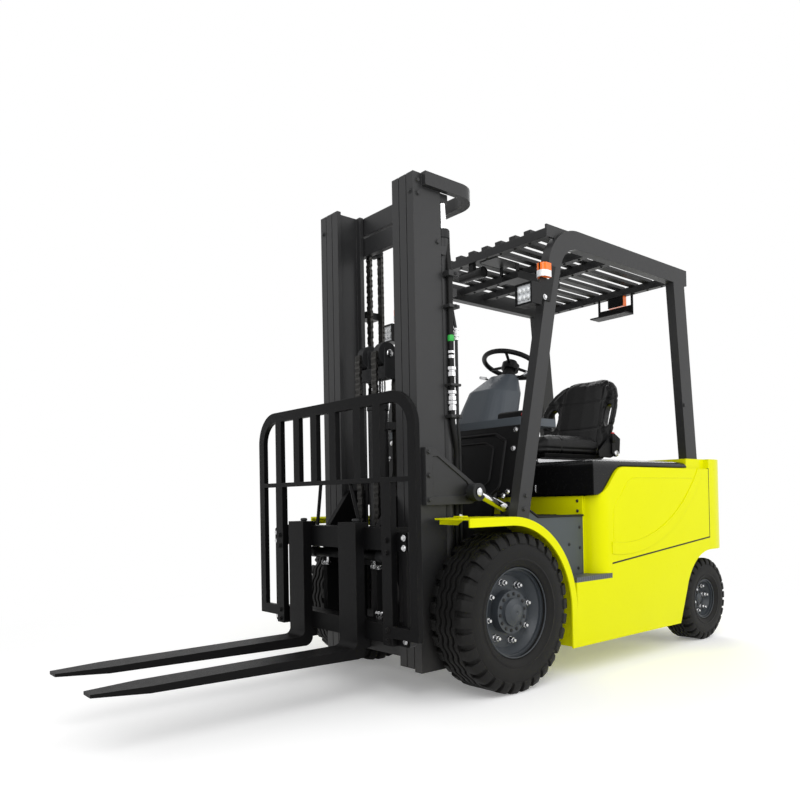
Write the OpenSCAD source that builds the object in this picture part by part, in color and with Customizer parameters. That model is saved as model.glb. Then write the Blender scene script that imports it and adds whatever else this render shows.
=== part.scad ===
// Counterbalance electric fork truck with a three-stage mast.
// Sizes are laid out from the front axle: X forward, Y to the truck's left, Z up from the ground.
// Every node is then shifted along X so that the origin is under the middle of the whole truck.

/* [Overall] */
// Distance between the front and rear axles
wheelbase = 1700; // [1650:10:1760]
// Distance from the rear axle to the back of the counterweight
rear_overhang = 310; // [300:5:340]
// Width over the side panels
body_w = 1180; // [1170:2:1200]
// Height of the skirt's lower edge above the ground
skirt_z = 142; // [120:2:160]
// Thickness of the welded frame plates
plate_t = 12; // [10:1:14]
// Height of the footwell floor
floor_z = 757; // [750:1:765]
// Height of the battery hood's top
deck_z = 1035; // [1020:1:1050]
// Height of the counterweight's top
weight_z = 1056; // [1050:1:1070]

/* [Front wheels] */
// Outer diameter of a front tyre
front_tyre_d = 700; // [690:2:710]
// Width of a front tyre
front_tyre_w = 225; // [215:1:230]
// Distance from the body's side to the middle of a front tyre
front_wheel_in = 108; // [104:1:112]
// Diameter over a front rim's flange
front_rim_d = 396; // [380:2:410]
// Number of shoulder lugs on each side of a front tyre
front_lugs = 30; // [24:1:34]
// Depth of the grooves between the lugs
lug_depth = 15; // [10:1:18]

/* [Rear wheels] */
// Outer diameter of a rear tyre
rear_tyre_d = 476; // [466:2:484]
// Width of a rear tyre
rear_tyre_w = 173; // [165:1:178]
// Distance from the body's side to the middle of a rear tyre
rear_wheel_in = 118.5; // [115:0.5:122]
// Diameter over a rear rim's flange
rear_rim_d = 228; // [216:2:240]
// Number of shoulder lugs on each side of a rear tyre
rear_lugs = 26; // [20:1:30]
// Distance from the middle of a rear tyre to its kingpin
kingpin_in = 136.5; // [131.5:0.5:141.5]

/* [Mast] */
// Height of the mast's top when lowered
mast_top_z = 2271; // [2200:10:2340]
// Height of the mast's lower end
mast_foot_z = 107; // [100:1:125]
// Front plane of the rails, from the front axle
rail_front_x = 366; // [360:1:372]
// Depth of a rail from front to back
rail_depth = 160; // [150:1:168]
// Width of one rail's flange
rail_flange_w = 44; // [40:1:46]
// Thickness of a rail's web
rail_web_t = 14; // [12:1:16]
// Thickness of a rail's flange
rail_flange_t = 22; // [18:1:24]
// Distance over the outer rails
mast_w = 704; // [700:1:708]
// Running gap between neighbouring moving pieces
run_gap = 5; // [5:0.5:6]
// Outer diameter of a side lift cylinder's barrel
lift_barrel_d = 62; // [58:1:64]
// Diameter of a side lift cylinder's rod
lift_rod_d = 40; // [36:1:42]
// Outer diameter of the middle lift cylinder's barrel
free_barrel_d = 96; // [90:1:100]
// Diameter of the middle lift cylinder's rod
free_rod_d = 60; // [50:1:64]

/* [Forks and carriage] */
// Distance from the front axle to the front face of the forks' shanks
fork_face_x = 614; // [605:1:625]
// Length of a fork's blade
fork_l = 1070; // [1000:10:1220]
// Width of a fork
fork_w = 125; // [115:1:130]
// Thickness of a fork at its heel
fork_t = 45; // [40:1:48]
// Height of the blades' top face as parked
fork_top_z = 232; // [228:1:240]
// Height of a fork's shank above the blade's top face
fork_shank_h = 528; // [515:1:540]
// Sideways place of the left fork's middle
fork_left_y = 164; // [150:2:190]
// Sideways place of the right fork's middle
fork_right_y = -239; // [-260:2:-200]
// Width of the bars that carry the forks
bar_w = 1000; // [980:4:1020]
// Half the width of the load backrest
backrest_hw = 598; // [594:1:600]
// Height of the load backrest's top
backrest_top_z = 1288; // [1240:4:1340]
// Radius of the backrest's top corners
backrest_r = 150; // [120:5:170]

/* [Overhead guard] */
// Height of the guard's top
guard_top_z = 2160; // [2120:5:2200]
// Width over the guard's legs
guard_w = 1052; // [1040:2:1060]
// Width of a leg across the truck
leg_w = 50; // [44:1:56]
// Depth of a front leg along the truck
leg_d = 85; // [76:1:92]
// Depth of the roof's side rails
roof_rail_h = 90; // [80:1:100]
// Number of roof slats
slat_count = 9; // [7:1:10]

/* [Seat and steering] */
// Width of the seat
seat_w = 500; // [460:5:520]
// Height of the seat back's top
seat_top_z = 1545; // [1500:5:1580]
// Diameter of the steering wheel
wheel_d = 330; // [310:5:350]
// Height of the steering wheel's middle
wheel_z = 1590; // [1580:2:1600]

/* [Hidden] */
$fn = 64;
// Overrun of every cut past the faces that it opens
over = 2;
// Gap between pieces that only lie beside each other
lay_gap = 0.5;
// Clearance of a rod or pin in its bore, all round
rod_clear = 0.3;

// Places along the truck, from the front axle
rear_axle_x = -wheelbase;
back_x = -wheelbase - rear_overhang;
tip_x = fork_face_x + fork_l;
frame_shift = -(tip_x + back_x) / 2;
half_w = body_w / 2;
front_wheel_y = half_w - front_wheel_in;
rear_wheel_y = half_w - rear_wheel_in;
front_axle_z = front_tyre_d / 2;
rear_axle_z = rear_tyre_d / 2;

// Front fender: a flat top that turns down behind the wheel on one arc
fender_front_x = 299;
fender_arc_x = 40;
fender_rise = 13;
fender_top_z = floor_z + fender_rise;
fender_r = 450;
fender_arc_z = fender_top_z - fender_r;
fender_back_x = fender_arc_x - fender_r;
fender_t = 8;
fender_lip_h = 38;
fender_lip_t = 8;
fender_in_y = 378;

// Battery tub, skirts and steps
frame_hw = 344;
frame_front_x = 25;
tub_front_x = -600;
tub_clear = 350;
tub_back_x = rear_axle_x + tub_clear;
tub_floor_z = 202;
axle_arch_r = 75;
riser_in = 90;
riser_y = half_w - riser_in;
riser_front_x = -150;
floor_wide_x = -385;
panel_front_x = tub_front_x;
step_back_x = -700;
step_z = 470;
step_h = 24;
seam_front_z = 508;
seam_back_z = 602;
panel_back_x = rear_axle_x + plate_t;
arch_r = 292;
arch_z = rear_axle_z + arch_r;
arch_start = 28;
panel_t = 26;
panel_r = 88;
swoosh_x = -824;
swoosh_r = 900;
swoosh_w = 60;
swoosh_h = 4;
swoosh_low_z = 616;
swoosh_edge = 100;
deck_drop = 30;
panel_top_z = deck_z - deck_drop;
lip_z = 860;
lip_x = -575;
lip_run = 210;
lip_t = 22;
deck_gap = 6;
deck_t = 24;
deck_back_x = -1469;
deck_hw = half_w - plate_t;
hood_r = 45;
curve_steps = 8;
hood_pin_d = 12;
hood_pin_back = 16;
hood_pin_x = deck_back_x - hood_pin_back;
hood_pin_z = deck_z - deck_t / 2;
hood_pin_l = 60;
hood_pin_y = 240;

// Counterweight
weight_front_x = tub_back_x - plate_t - lay_gap;
weight_r = 270;
weight_top_r = 60;
weight_taper_l = 150;
weight_taper_h = 45;
cradle_hw = 118;
cradle_back = 90;
cradle_x = rear_axle_x - cradle_back;
cradle_l = 108;
keel_z = 330;
keel_hw = 128;
keel_back = 130;
keel_front_x = rear_axle_x - keel_back;
tow_z = 615;
tow_gap_h = 70;
tow_gap_d = 90;
tow_gap_w = 110;
tow_wall = 45;
tow_pin_d = 30;
tow_back = 42;

// Overhead guard
leg_foot_x = -108;
leg_slope_share = 0.2266;
guard_hw = guard_w / 2;
roof_back_x = -1607;
roof_bend_r = 240;
rear_leg_foot_x = -1622;
rear_leg_top_x = -1510;
rear_leg_d = 118;
roof_bar_w = 40;
roof_bar_h = 60;
roof_bar_shares = [0.318, 0.477];
slat_w = 42;
slat_t = 18;
fin_t = 10;
slat_pitch = (guard_w - 2 * leg_w) / (slat_count + 1);
roof_front_x = -350;

// Cowl and dash
cowl_top_z = 1190;
cowl_t = 22;
cowl_gap_y = 366;
cowl_gap_h = 125;
dash_plate_t = 38;
dash_back_x = -420;
// The hump over the column, from its foot on the dash to its top
hump_back_x = -560;
hump_front_x = -300;
hump_back_lean = 82;
hump_front_lean = 235;
hump_hw = 165;
hump_h = 284;
hump_r = 105;
hump_flat_share = 0.35;
// Each ring's height, lean behind, lean in front, width and corner radius, as shares of the sizes above
hump_ring_shares = [[0, 0, 0, 1, 1], [0.658, 0.854, 0.404, 0.788, 0.81], [1, 1, 1, 0.461, 0.362]];

// Steering wheel and column
wheel_x = -650;
wheel_rim_d = 27;
wheel_tilt = 22;
wheel_spokes = 3;
spoke_d = 16;
spoke_turn = 30;
column_d = 64;
column_l = 190;
hub_d = 96;
hub_h = 34;

// Seat
seat_front_x = -590;
seat_back_x = -1235;
cushion_h = 76;
seat_base_h = 34;
seat_back_t = 75;
seat_lean = 14;
recliner_l = 140;
recliner_t = 8;
seat_hole_w = 44;
seat_hole_h = 150;
seat_hole_y = 175;
seat_hole_share = 0.52;
bucket_r = 420;
bucket_reach = 110;
seat_foot_r = 55;
cushion_r = 90;
cushion_roll = 40;
recliner_reach = 150;

// Front wheels
rim_t = 14;
disc_t = 22;
disc_share = -0.01;
rim_edge_share = 0.1;
dish_share = 0.065;
cap_w_share = 0.64;
cap_h_share = 0.13;
front_hub_d = 190;
front_hub_l = 66;
axle_tube_d = 150;
axle_spindle_d = 110;
axle_spindle_l = 70;
lug_gap_share = 0.36;
lug_reach_share = 0.2;

// Steered axle
kingpin_y = rear_wheel_y - kingpin_in;
kingpin_d = 40;
ear_r = 43;
ear_h = 26;
knuckle_h = 120;
knuckle_d = 80;
ear_gap = 0.4;
spindle_d = 60;
beam_d = 90;
beam_h = 110;
steer_arm_l = 60;
steer_arm_t = 18;
steer_eye_d = 36;
steer_rod_d = 30;
steer_barrel_d = 70;
steer_barrel_l = 240;
saddle_l = 40;
// Heights of the steering arms and of the rod above them
arm_z = rear_axle_z + knuckle_h / 2 + ear_h + run_gap;
steer_z = arm_z + steer_arm_t + run_gap + steer_rod_d / 2;

// Mast rails, nested side by side
rail_back_x = rail_front_x - rail_depth;
rail_mid_x = rail_front_x - rail_depth / 2;
mast_hw = mast_w / 2;
outer_in_y = mast_hw - rail_flange_w;
middle_out_y = outer_in_y - run_gap;
middle_in_y = middle_out_y - rail_flange_w;
inner_out_y = middle_in_y - run_gap;
inner_in_y = inner_out_y - rail_flange_w;
roller_clear = 0.4;
roller_d = rail_depth - 2 * rail_flange_t - 2 * roller_clear;
roller_rise = 90;

// Cross ties, stacked at the foot and at the head so that each stage can rise past the others
tie_t = 30;
tie_h = 90;
tie_gap = 12;
tie_back_x = rail_back_x - run_gap - tie_t;
outer_tie_z = mast_foot_z;
inner_foot_z = mast_foot_z + tie_gap;
middle_tie_z = outer_tie_z + tie_h + tie_gap;
inner_tie_z = middle_tie_z + tie_h + tie_gap;
inner_head_z = mast_top_z - tie_h;
middle_head_z = inner_head_z - tie_gap - tie_h;
bow_back_x = -35;
bow_w = 26;
bow_t = 46;
bow_h = 60;
bow_r = 130;
bow_hold = 110;
bow_front_x = rail_back_x + bow_hold;
bow_over = 4;

// Mast pivot on the drive axle
pivot_x = 150;
pivot_z = 320;
pivot_pin_d = 70;
hanger_r = 60;
hanger_y = 312;
cheek_y = 288;
cheek_t = 20;
cheek_r = 50;

// Side lift cylinders, behind the outer rails
lift_y = 320;
lift_x = rail_back_x - run_gap - lift_barrel_d / 2;
lift_foot_z = 400;
lift_foot_t = 16;
lift_top_z = 2060;
lift_head_z = 2180;
lift_head_h = 40;
lift_rod_in = 1700;
clamp_h = 40;

// Main chains over the middle stage's sheaves
chain_w = 32;
chain_t = 16;
chain_pitch = 50.8;
chain_waist_share = 0.7;
sheave_d = 110;
main_sheave_d = 64;
sheave_w = 40;
cheek_plate_t = 8;
main_chain_y = 225;
main_sheave_x = 120;
main_sheave_z = 2120;
main_back_l = 1850;
anchor_h = 34;
anchor_z = 1780;
chain_gap = 4;

// Middle lift cylinder with its crosshead
free_x = 300;
free_foot_h = 30;
free_foot_z = inner_tie_z + free_foot_h;
free_top_z = 1320;
free_rod_in = 860;
free_sheave_z = 1530;
free_chain_y = 62;
free_back_l = 960;
collar_z = 1180;
head_h = 60;

// Tilt cylinders
tilt_pin_x = 82;
tilt_pin_z = 880;
tilt_pin_d = 36;
tilt_pin_clear = 4;
tilt_y = 418;
tilt_foot_x = -420;
tilt_foot_z = 680;
tilt_barrel_d = 70;
tilt_barrel_l = 330;
tilt_rod_d = 45;
tilt_rod_in = 240;
tilt_eye_d = 80;
tilt_eye_w = 44;
tilt_l = norm([tilt_pin_x - tilt_foot_x, tilt_pin_z - tilt_foot_z]);
tilt_angle = atan2(tilt_pin_z - tilt_foot_z, tilt_pin_x - tilt_foot_x);
bracket_t = 26;
bracket_z = 826;
bracket_top_z = 1076;
bracket_front_x = 345;
bracket_r = 52;
bracket_lead = 127;
bracket_shelf = 45;
pocket_share = 0.7;
pocket_d = 6;

// Carriage and side shifter
roller_w = 26;
carriage_t = 30;
carriage_y = inner_in_y - run_gap - carriage_t;
carriage_z = 262;
carriage_h = 640;
bar_t = 40;
bar_h = 76;
upper_bar_z = 646;
lower_bar_z = 268;
shift_bar_x = fork_face_x - fork_t - lay_gap - bar_t;
carriage_bar_x = shift_bar_x - run_gap - bar_t;
carriage_bar_hw = 420;
slide_gap = 0.3;
slide_h = 18;
end_plate_t = 28;
crossbar_x = 385;
crossbar_z = 560;
crossbar_h = 90;
shift_barrel_d = 44;
shift_barrel_l = 560;
shift_barrel_drop = 34;

// Forks
fork_tip_t = 12;
fork_tip_w_share = 0.55;
fork_tip_l = 190;
fork_heel_r = 40;
fork_taper_share = 0.45;
fork_fillet_r = 28;
hook_t = 26;
hook_h = 40;
hook_gap = 0.5;

// Load backrest
back_set = 40;
back_bar_x = fork_face_x - back_set;
back_bar_t = 24;
back_frame_w = 46;
back_foot_z = 302;
back_mid_z = 924;
back_mid_h = 20;
back_bar_w = 50;
// Places of the upright bars, as shares of the half width
back_bar_shares = [-0.689, -0.4164, -0.1722, 0.0786, 0.3763, 0.5987];
back_post_y = 412;
back_post_w = 60;

// Lamps and handle
lamp_w = 100;
lamp_d = 70;
lamp_z = 1742;
lamp_reach = 46;
lamp_bezel = 8;
lamp_bezel_d = 10;
led_d = 24;
led_rows = 2;
led_columns = 3;
lamp_plate_t = 6;
lens_h = 66;
lens_w = 56;
lens_gap = 40;
rear_lamp_y = 70;
rear_lamp_w = 250;
rear_lamp_h = 62;
rear_lens_share = 0.28;
tray_t = 6;
tray_x = roof_bar_w - tray_t;
tray_l = 95;
tray_h = 55;
tray_drop = 125;
strap_w = 14;
hanger_bar_d = 14;
handle_z = 1520;
handle_h = 190;
handle_d = 34;
handle_stub_d = 24;
handle_out = 58;

// Shifts a shape laid out from the front axle into the truck's own frame
module truck() {
    translate([frame_shift, 0, 0]) children();
}

// Draws a shape on the left side and again, mirrored, on the right
module both_sides() {
    children();
    mirror([0, 1, 0]) children();
}

// A block between two corners
module block(low, high) {
    translate(low) cube(high - low);
}

// A flat outline in X and Z, given a thickness to the left from y
module across(y, t) {
    translate([0, y + t, 0]) rotate([90, 0, 0]) linear_extrude(t) children();
}

// A flat outline in Y and Z, given a thickness forward from x
module forward(x, t) {
    translate([x, 0, 0]) rotate([90, 0, 90]) linear_extrude(t) children();
}

// A round bar across the truck from y, its axis at x and z
module cross_bar(x, z, y, l, d) {
    translate([x, y, z]) rotate([-90, 0, 0]) cylinder(d = d, h = l);
}

// A corner cutter that leaves a quarter circle, for a corner at the origin
module corner_cut(r) {
    difference() {
        translate([-over, -over]) square(r + over);
        translate([r, r]) circle(r);
    }
}

// A smooth rise from 0 to 1 as t goes from 0 to 1
function ease(t) = (1 - cos(180 * t)) / 2;

// Height of the seam between the skirt and the side panel
function seam_z(x) = seam_front_z
    + (seam_back_z - seam_front_z) * (panel_front_x - x) / (panel_front_x - panel_back_x);

// Height of the hood lip's lower edge along the side
function lip_edge_z(x) = lip_z
    + (panel_top_z - lip_z) * ease(max(0, min(1, (panel_front_x - x) / lip_run)));

// X of a front leg's middle at a height
function leg_x(z) = leg_foot_x - leg_slope_share * (z - fender_top_z);

// X of a rear leg's middle at a height
function rear_leg_x(z) = rear_leg_foot_x
    + (rear_leg_top_x - rear_leg_foot_x) * (z - weight_z) / (guard_top_z - weight_z);

// Chassis

module chassis_frame() {
    color("gold") truck() {
        both_sides() {
            skirt();
            difference() {
                block([tub_back_x, frame_hw - plate_t, tub_floor_z - plate_t],
                      [frame_front_x, frame_hw, floor_z - plate_t]);
                cross_bar(0, front_axle_z, frame_hw - plate_t - over, plate_t + 2 * over, 2 * axle_arch_r);
                block([-axle_arch_r, frame_hw - plate_t - over, 0],
                      [frame_front_x + over, frame_hw + over, front_axle_z]);
            }
            cross_bar(tilt_foot_x, tilt_foot_z, frame_hw - over,
                      tilt_y + tilt_eye_w - frame_hw, tilt_pin_d);
        }
        block([tub_back_x, -half_w + plate_t, tub_floor_z - plate_t],
              [fender_back_x, half_w - plate_t, tub_floor_z]);
        for (x = [tub_front_x, tub_back_x - plate_t])
            block([x, -riser_y, tub_floor_z - plate_t], [x + plate_t, riser_y, lip_z - deck_gap]);
        block([frame_front_x - plate_t, -frame_hw, front_axle_z + axle_arch_r],
              [frame_front_x, frame_hw, floor_z - plate_t]);
    }
}

// One side skirt, with the round arch cut for the steered wheel
module skirt() {
    across(half_w - plate_t, plate_t) difference() {
        polygon([
            [fender_back_x, skirt_z],
            [tub_back_x + plate_t / 2, skirt_z],
            [rear_axle_x + arch_r * cos(arch_start), rear_axle_z + arch_r * sin(arch_start)],
            [panel_back_x, rear_axle_z],
            [panel_back_x, seam_back_z],
            [step_back_x - lay_gap, seam_z(step_back_x)],
            [step_back_x - lay_gap, step_z - step_h],
            [fender_back_x, step_z - step_h]
        ]);
        translate([rear_axle_x, rear_axle_z]) circle(arch_r);
    }
}

module front_fenders() {
    color("gold") truck() both_sides() {
        fender_band(fender_in_y, half_w - fender_in_y, fender_t);
        fender_band(half_w - fender_lip_t, fender_lip_t, fender_lip_h);
    }
}

// A strip of the fender's shape from y, w wide and t deep under its outer face
module fender_band(y, w, t) {
    across(y, w) {
        translate([fender_arc_x, fender_top_z - t]) square([fender_front_x - fender_arc_x, t]);
        intersection() {
            translate([fender_arc_x, fender_arc_z]) difference() {
                circle(fender_r);
                circle(fender_r - t);
            }
            translate([fender_back_x - over, fender_arc_z]) square(fender_r + over);
        }
        translate([fender_back_x, skirt_z]) square([t, fender_arc_z - skirt_z]);
    }
}

module side_panels() {
    color("gold") truck() both_sides() {
        intersection() {
            across(riser_y + lay_gap, half_w - riser_y - lay_gap) panel_outline();
            linear_extrude(deck_z) difference() {
                panel_plan(0, panel_r);
                panel_plan(panel_t, panel_r - panel_t);
            }
        }
        across(half_w - over, over + swoosh_h) swoosh();
    }
}

// The corner that a panel turns in front, from above, drawn in by d with a corner of radius r
module panel_plan(d, r) {
    difference() {
        translate([panel_back_x - d, riser_y - d]) square([panel_front_x - panel_back_x, half_w - riser_y]);
        translate([panel_front_x - d, half_w - d]) rotate(180) corner_cut(r);
    }
}

// A side panel seen from the side, its top swept along under the hood's lip
module panel_outline() {
    polygon(concat(
        [
            for (i = [0 : curve_steps])
                let (x = panel_front_x - i * lip_run / curve_steps)
                [x, lip_edge_z(x) - deck_gap]
        ],
        [
            [panel_back_x, panel_top_z - deck_gap],
            [panel_back_x, seam_back_z + lay_gap],
            [step_back_x, seam_z(step_back_x) + lay_gap],
            [step_back_x, step_z + lay_gap],
            [panel_front_x, step_z + lay_gap]
        ]
    ));
}

// The raised band that sweeps down and forward across a panel
module swoosh() {
    intersection() {
        panel_outline();
        translate([panel_back_x + swoosh_edge, 0])
            square([panel_front_x - panel_back_x - 2 * swoosh_edge, panel_top_z]);
        translate([swoosh_x, swoosh_low_z + swoosh_r]) difference() {
            circle(swoosh_r + swoosh_w);
            circle(swoosh_r);
        }
    }
}

module counterweight() {
    color("gold") truck() difference() {
        union() {
            difference() {
                intersection() {
                    translate([0, 0, arch_z]) linear_extrude(weight_z - arch_z) weight_plan();
                    across(-half_w, body_w) weight_side();
                }
                both_sides() block([panel_back_x - lay_gap, half_w - panel_t - lay_gap, 0],
                                   [0, half_w + over, weight_z + over]);
                block([deck_back_x - 2 * deck_gap, -half_w - over, panel_top_z - deck_gap],
                      [0, half_w + over, weight_z + over]);
                both_sides() block(
                    [hood_pin_x - deck_t, hood_pin_y - run_gap, panel_top_z - deck_gap],
                    [0, hood_pin_y + hood_pin_l + run_gap, weight_z + over]);
            }
            both_sides() cross_bar(hood_pin_x, hood_pin_z, hood_pin_y - run_gap - over,
                                   hood_pin_l + 2 * run_gap + 2 * over, hood_pin_d);
            block([back_x + tow_wall, -keel_hw, keel_z], [keel_front_x, keel_hw, arch_z + over]);
            block([cradle_x, -cradle_hw, rear_axle_z + beam_h / 2],
                  [cradle_x + cradle_l, cradle_hw, arch_z + over]);
        }
        block([back_x - over, -tow_gap_w / 2, tow_z - tow_gap_h / 2],
              [back_x + tow_gap_d, tow_gap_w / 2, tow_z + tow_gap_h / 2]);
        translate([back_x + tow_back, 0, tow_z - tow_gap_h / 2 - tow_wall])
            cylinder(d = tow_pin_d, h = weight_z);
    }
}

// Plan of the counterweight, with its two round rear corners
module weight_plan() {
    difference() {
        translate([back_x, -half_w]) square([weight_front_x - back_x, body_w]);
        translate([back_x, -half_w]) corner_cut(weight_r);
        translate([back_x, half_w]) mirror([0, 1]) corner_cut(weight_r);
    }
}

// The counterweight seen from the side, round at the top and tapered below at its back
module weight_side() {
    difference() {
        translate([back_x, arch_z]) square([weight_front_x - back_x, weight_z - arch_z]);
        translate([back_x, weight_z]) mirror([0, 1]) corner_cut(weight_top_r);
        polygon([
            [back_x - over, arch_z - over],
            [back_x + weight_taper_l, arch_z - over],
            [back_x + weight_taper_l, arch_z],
            [back_x, arch_z + weight_taper_h],
            [back_x - over, arch_z + weight_taper_h]
        ]);
    }
}

module battery_block() {
    color("dimgray") truck() block(
        [tub_back_x + lay_gap, -frame_hw + plate_t + lay_gap, tub_floor_z],
        [tub_front_x - lay_gap, frame_hw - plate_t - lay_gap, panel_top_z - deck_t]);
}

module floor_plate() {
    color("darkslategray") truck() difference() {
        union() {
            block([tub_front_x + plate_t, -cowl_gap_y, floor_z - plate_t],
                  [frame_front_x, cowl_gap_y, floor_z]);
            block([tub_front_x + plate_t, -riser_y, floor_z - plate_t], [floor_wide_x, riser_y, floor_z]);
            both_sides() {
                block([tub_front_x + plate_t, riser_y - plate_t, step_z], [riser_front_x, riser_y, floor_z]);
                block([tub_front_x + plate_t, riser_y - 2 * plate_t, floor_z - plate_t],
                      [riser_front_x, riser_y, floor_z]);
            }
        }
        both_sides() cross_bar(fender_arc_x, fender_arc_z, fender_in_y - lay_gap, half_w,
                               2 * (fender_r + lay_gap));
    }
}

module steps() {
    color("slategray") truck() both_sides()
        block([step_back_x, riser_y, step_z - step_h], [fender_back_x + lay_gap, half_w, step_z]);
}

// Cowl, dash and steering

module cowl_panel() {
    color("black") truck() difference() {
        across(leg_w - guard_hw, guard_w - 2 * leg_w) polygon([
            [leg_x(floor_z) + leg_d / 2, floor_z],
            [leg_x(cowl_top_z) + leg_d / 2, cowl_top_z],
            [leg_x(cowl_top_z) + leg_d / 2 - cowl_t, cowl_top_z],
            [leg_x(floor_z) + leg_d / 2 - cowl_t, floor_z]
        ]);
        both_sides() block([-guard_w, cowl_gap_y, floor_z - over], [guard_w, guard_hw, floor_z + cowl_gap_h]);
    }
}

module dash_cover() {
    color("slategray") truck() difference() {
        dash_shape();
        on_column() translate([0, 0, -hub_h - column_l - slide_gap])
            cylinder(d = column_d + 2 * lay_gap, h = column_l);
    }
}

// The flat top of the cowl with the rounded hump that covers the column
module dash_shape() {
    block([dash_back_x, leg_w - guard_hw, cowl_top_z],
          [leg_x(cowl_top_z) + leg_d / 2, guard_hw - leg_w, cowl_top_z + dash_plate_t]);
    hull() for (ring = hump_ring_shares) {
        r = hump_r * ring[4];
        back = hump_back_x - hump_back_lean * ring[1] + r;
        front = hump_front_x - hump_front_lean * ring[2] - r;
        for (x = [back, front], side = [-1, 1])
            translate([x, side * (hump_hw * ring[3] - r), cowl_top_z + dash_plate_t + hump_h * ring[0]])
                scale([1, 1, hump_flat_share]) sphere(r = r, $fn = 32);
    }
}

// Places a shape on the steering axis, with the wheel's middle at the origin
module on_column() {
    translate([wheel_x, 0, wheel_z]) rotate([0, -wheel_tilt, 0]) children();
}

module steering_column() {
    color("black") truck() on_column()
        translate([0, 0, -hub_h - column_l - slide_gap]) cylinder(d = column_d, h = column_l);
}

module steering_wheel() {
    color("black") truck() on_column() {
        rotate_extrude() translate([(wheel_d - wheel_rim_d) / 2, 0]) circle(d = wheel_rim_d);
        translate([0, 0, -hub_h]) cylinder(d = hub_d, h = hub_h);
        for (i = [0 : wheel_spokes - 1])
            rotate(spoke_turn + 360 * i / wheel_spokes) translate([0, 0, -hub_h / 4]) rotate([0, 90, 0])
                cylinder(d = spoke_d, h = (wheel_d - wheel_rim_d) / 2);
    }
}

// Hood and seat

module hood_deck() {
    color("black") truck() {
        difference() {
            forward(deck_back_x, lip_x - deck_back_x) hood_section();
            block([deck_back_x - over, -deck_hw + lip_t, lip_z - over],
                  [lip_x - lip_t, deck_hw - lip_t, deck_z - deck_t]);
            across(-half_w, body_w) hood_cut();
            across(-half_w, body_w) translate([lip_x, deck_z]) rotate(180) corner_cut(hood_r);
        }
        both_sides() hood_hinge();
    }
}

// The hood from the front, with round shoulders
module hood_section() {
    difference() {
        translate([-deck_hw, lip_z]) square([2 * deck_hw, deck_z - lip_z]);
        translate([-deck_hw, deck_z]) mirror([0, 1]) corner_cut(hood_r);
        translate([deck_hw, deck_z]) rotate(180) corner_cut(hood_r);
    }
}

// What lies under the swept lower edge of the hood's sides
module hood_cut() {
    polygon(concat(
        [[panel_front_x, lip_z - over]],
        [
            for (i = [0 : curve_steps])
                let (x = panel_front_x - i * lip_run / curve_steps)
                [x, lip_edge_z(x)]
        ],
        [[deck_back_x - over, panel_top_z], [deck_back_x - over, lip_z - over]]
    ));
}

// One knuckle of the hood's hinge, bored for its pin
module hood_hinge() {
    difference() {
        union() {
            cross_bar(hood_pin_x, hood_pin_z, hood_pin_y, hood_pin_l, deck_t);
            block([hood_pin_x, hood_pin_y, hood_pin_z - deck_t / 2],
                  [deck_back_x + over, hood_pin_y + hood_pin_l, hood_pin_z + deck_t / 2]);
        }
        cross_bar(hood_pin_x, hood_pin_z, hood_pin_y - over, hood_pin_l + 2 * over,
                  hood_pin_d + 2 * rod_clear);
    }
}

module seat_cushion() {
    color("black") truck() {
        block([seat_back_x + seat_hole_w, -seat_w / 2 + seat_hole_w, deck_z],
              [seat_front_x - cushion_r, seat_w / 2 - seat_hole_w, deck_z + seat_base_h + over]);
        intersection() {
            translate([0, 0, deck_z + seat_base_h]) linear_extrude(cushion_h) cushion_plan();
            across(-seat_w / 2, seat_w) difference() {
                translate([seat_back_x, deck_z])
                    square([seat_front_x - seat_back_x, seat_base_h + cushion_h]);
                translate([seat_front_x, deck_z + seat_base_h + cushion_h])
                    rotate(180) corner_cut(cushion_roll);
            }
        }
        both_sides() block([seat_back_x - recliner_l / 2, seat_w / 2, deck_z + seat_base_h],
                           [seat_back_x + recliner_reach, seat_w / 2 + recliner_t, deck_z + recliner_l]);
    }
}

// The cushion from above, round in front and hollowed behind to follow the bucket
module cushion_plan() {
    intersection() {
        difference() {
            translate([seat_back_x, -seat_w / 2]) square([seat_front_x - seat_back_x, seat_w]);
            for (s = [-1, 1]) translate([seat_front_x, s * seat_w / 2])
                mirror([1, 0]) mirror([0, (s + 1) / 2]) corner_cut(cushion_r);
        }
        translate([seat_back_x + bucket_r, 0]) {
            circle(bucket_r - lay_gap);
            translate([0, -seat_w / 2]) square([bucket_r, seat_w]);
        }
    }
}

// The seat back: a front view cut out of a bucket that curves round the driver
module seat_back() {
    color("black") truck() translate([seat_back_x, 0, deck_z]) rotate([0, -seat_lean, 0]) difference() {
        intersection() {
            forward(-seat_back_t, seat_back_t + bucket_reach) seat_outline();
            linear_extrude(seat_top_z) translate([bucket_r, 0]) difference() {
                circle(bucket_r + seat_back_t);
                circle(bucket_r);
            }
        }
        both_sides() translate([-seat_back_t - over, seat_hole_y, (seat_top_z - deck_z) * seat_hole_share])
            rotate([90, 0, 90]) linear_extrude(seat_back_t + bucket_reach + 2 * over) {
                square([seat_hole_w, seat_hole_h - seat_hole_w], center = true);
                for (s = [-1, 1]) translate([0, s * (seat_hole_h - seat_hole_w) / 2]) circle(d = seat_hole_w);
            }
    }
}

// The seat back seen from the front, round at the shoulders and drawn in at the foot
module seat_outline() {
    h = (seat_top_z - deck_z) / cos(seat_lean);
    difference() {
        translate([-seat_w / 2, seat_base_h]) square([seat_w, h - seat_base_h]);
        translate([-seat_w / 2, h]) mirror([0, 1]) corner_cut(seat_w / 4);
        translate([seat_w / 2, h]) rotate(180) corner_cut(seat_w / 4);
        translate([-seat_w / 2, seat_base_h]) corner_cut(seat_foot_r);
        translate([seat_w / 2, seat_base_h]) mirror([1, 0]) corner_cut(seat_foot_r);
    }
}

// Overhead guard

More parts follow.
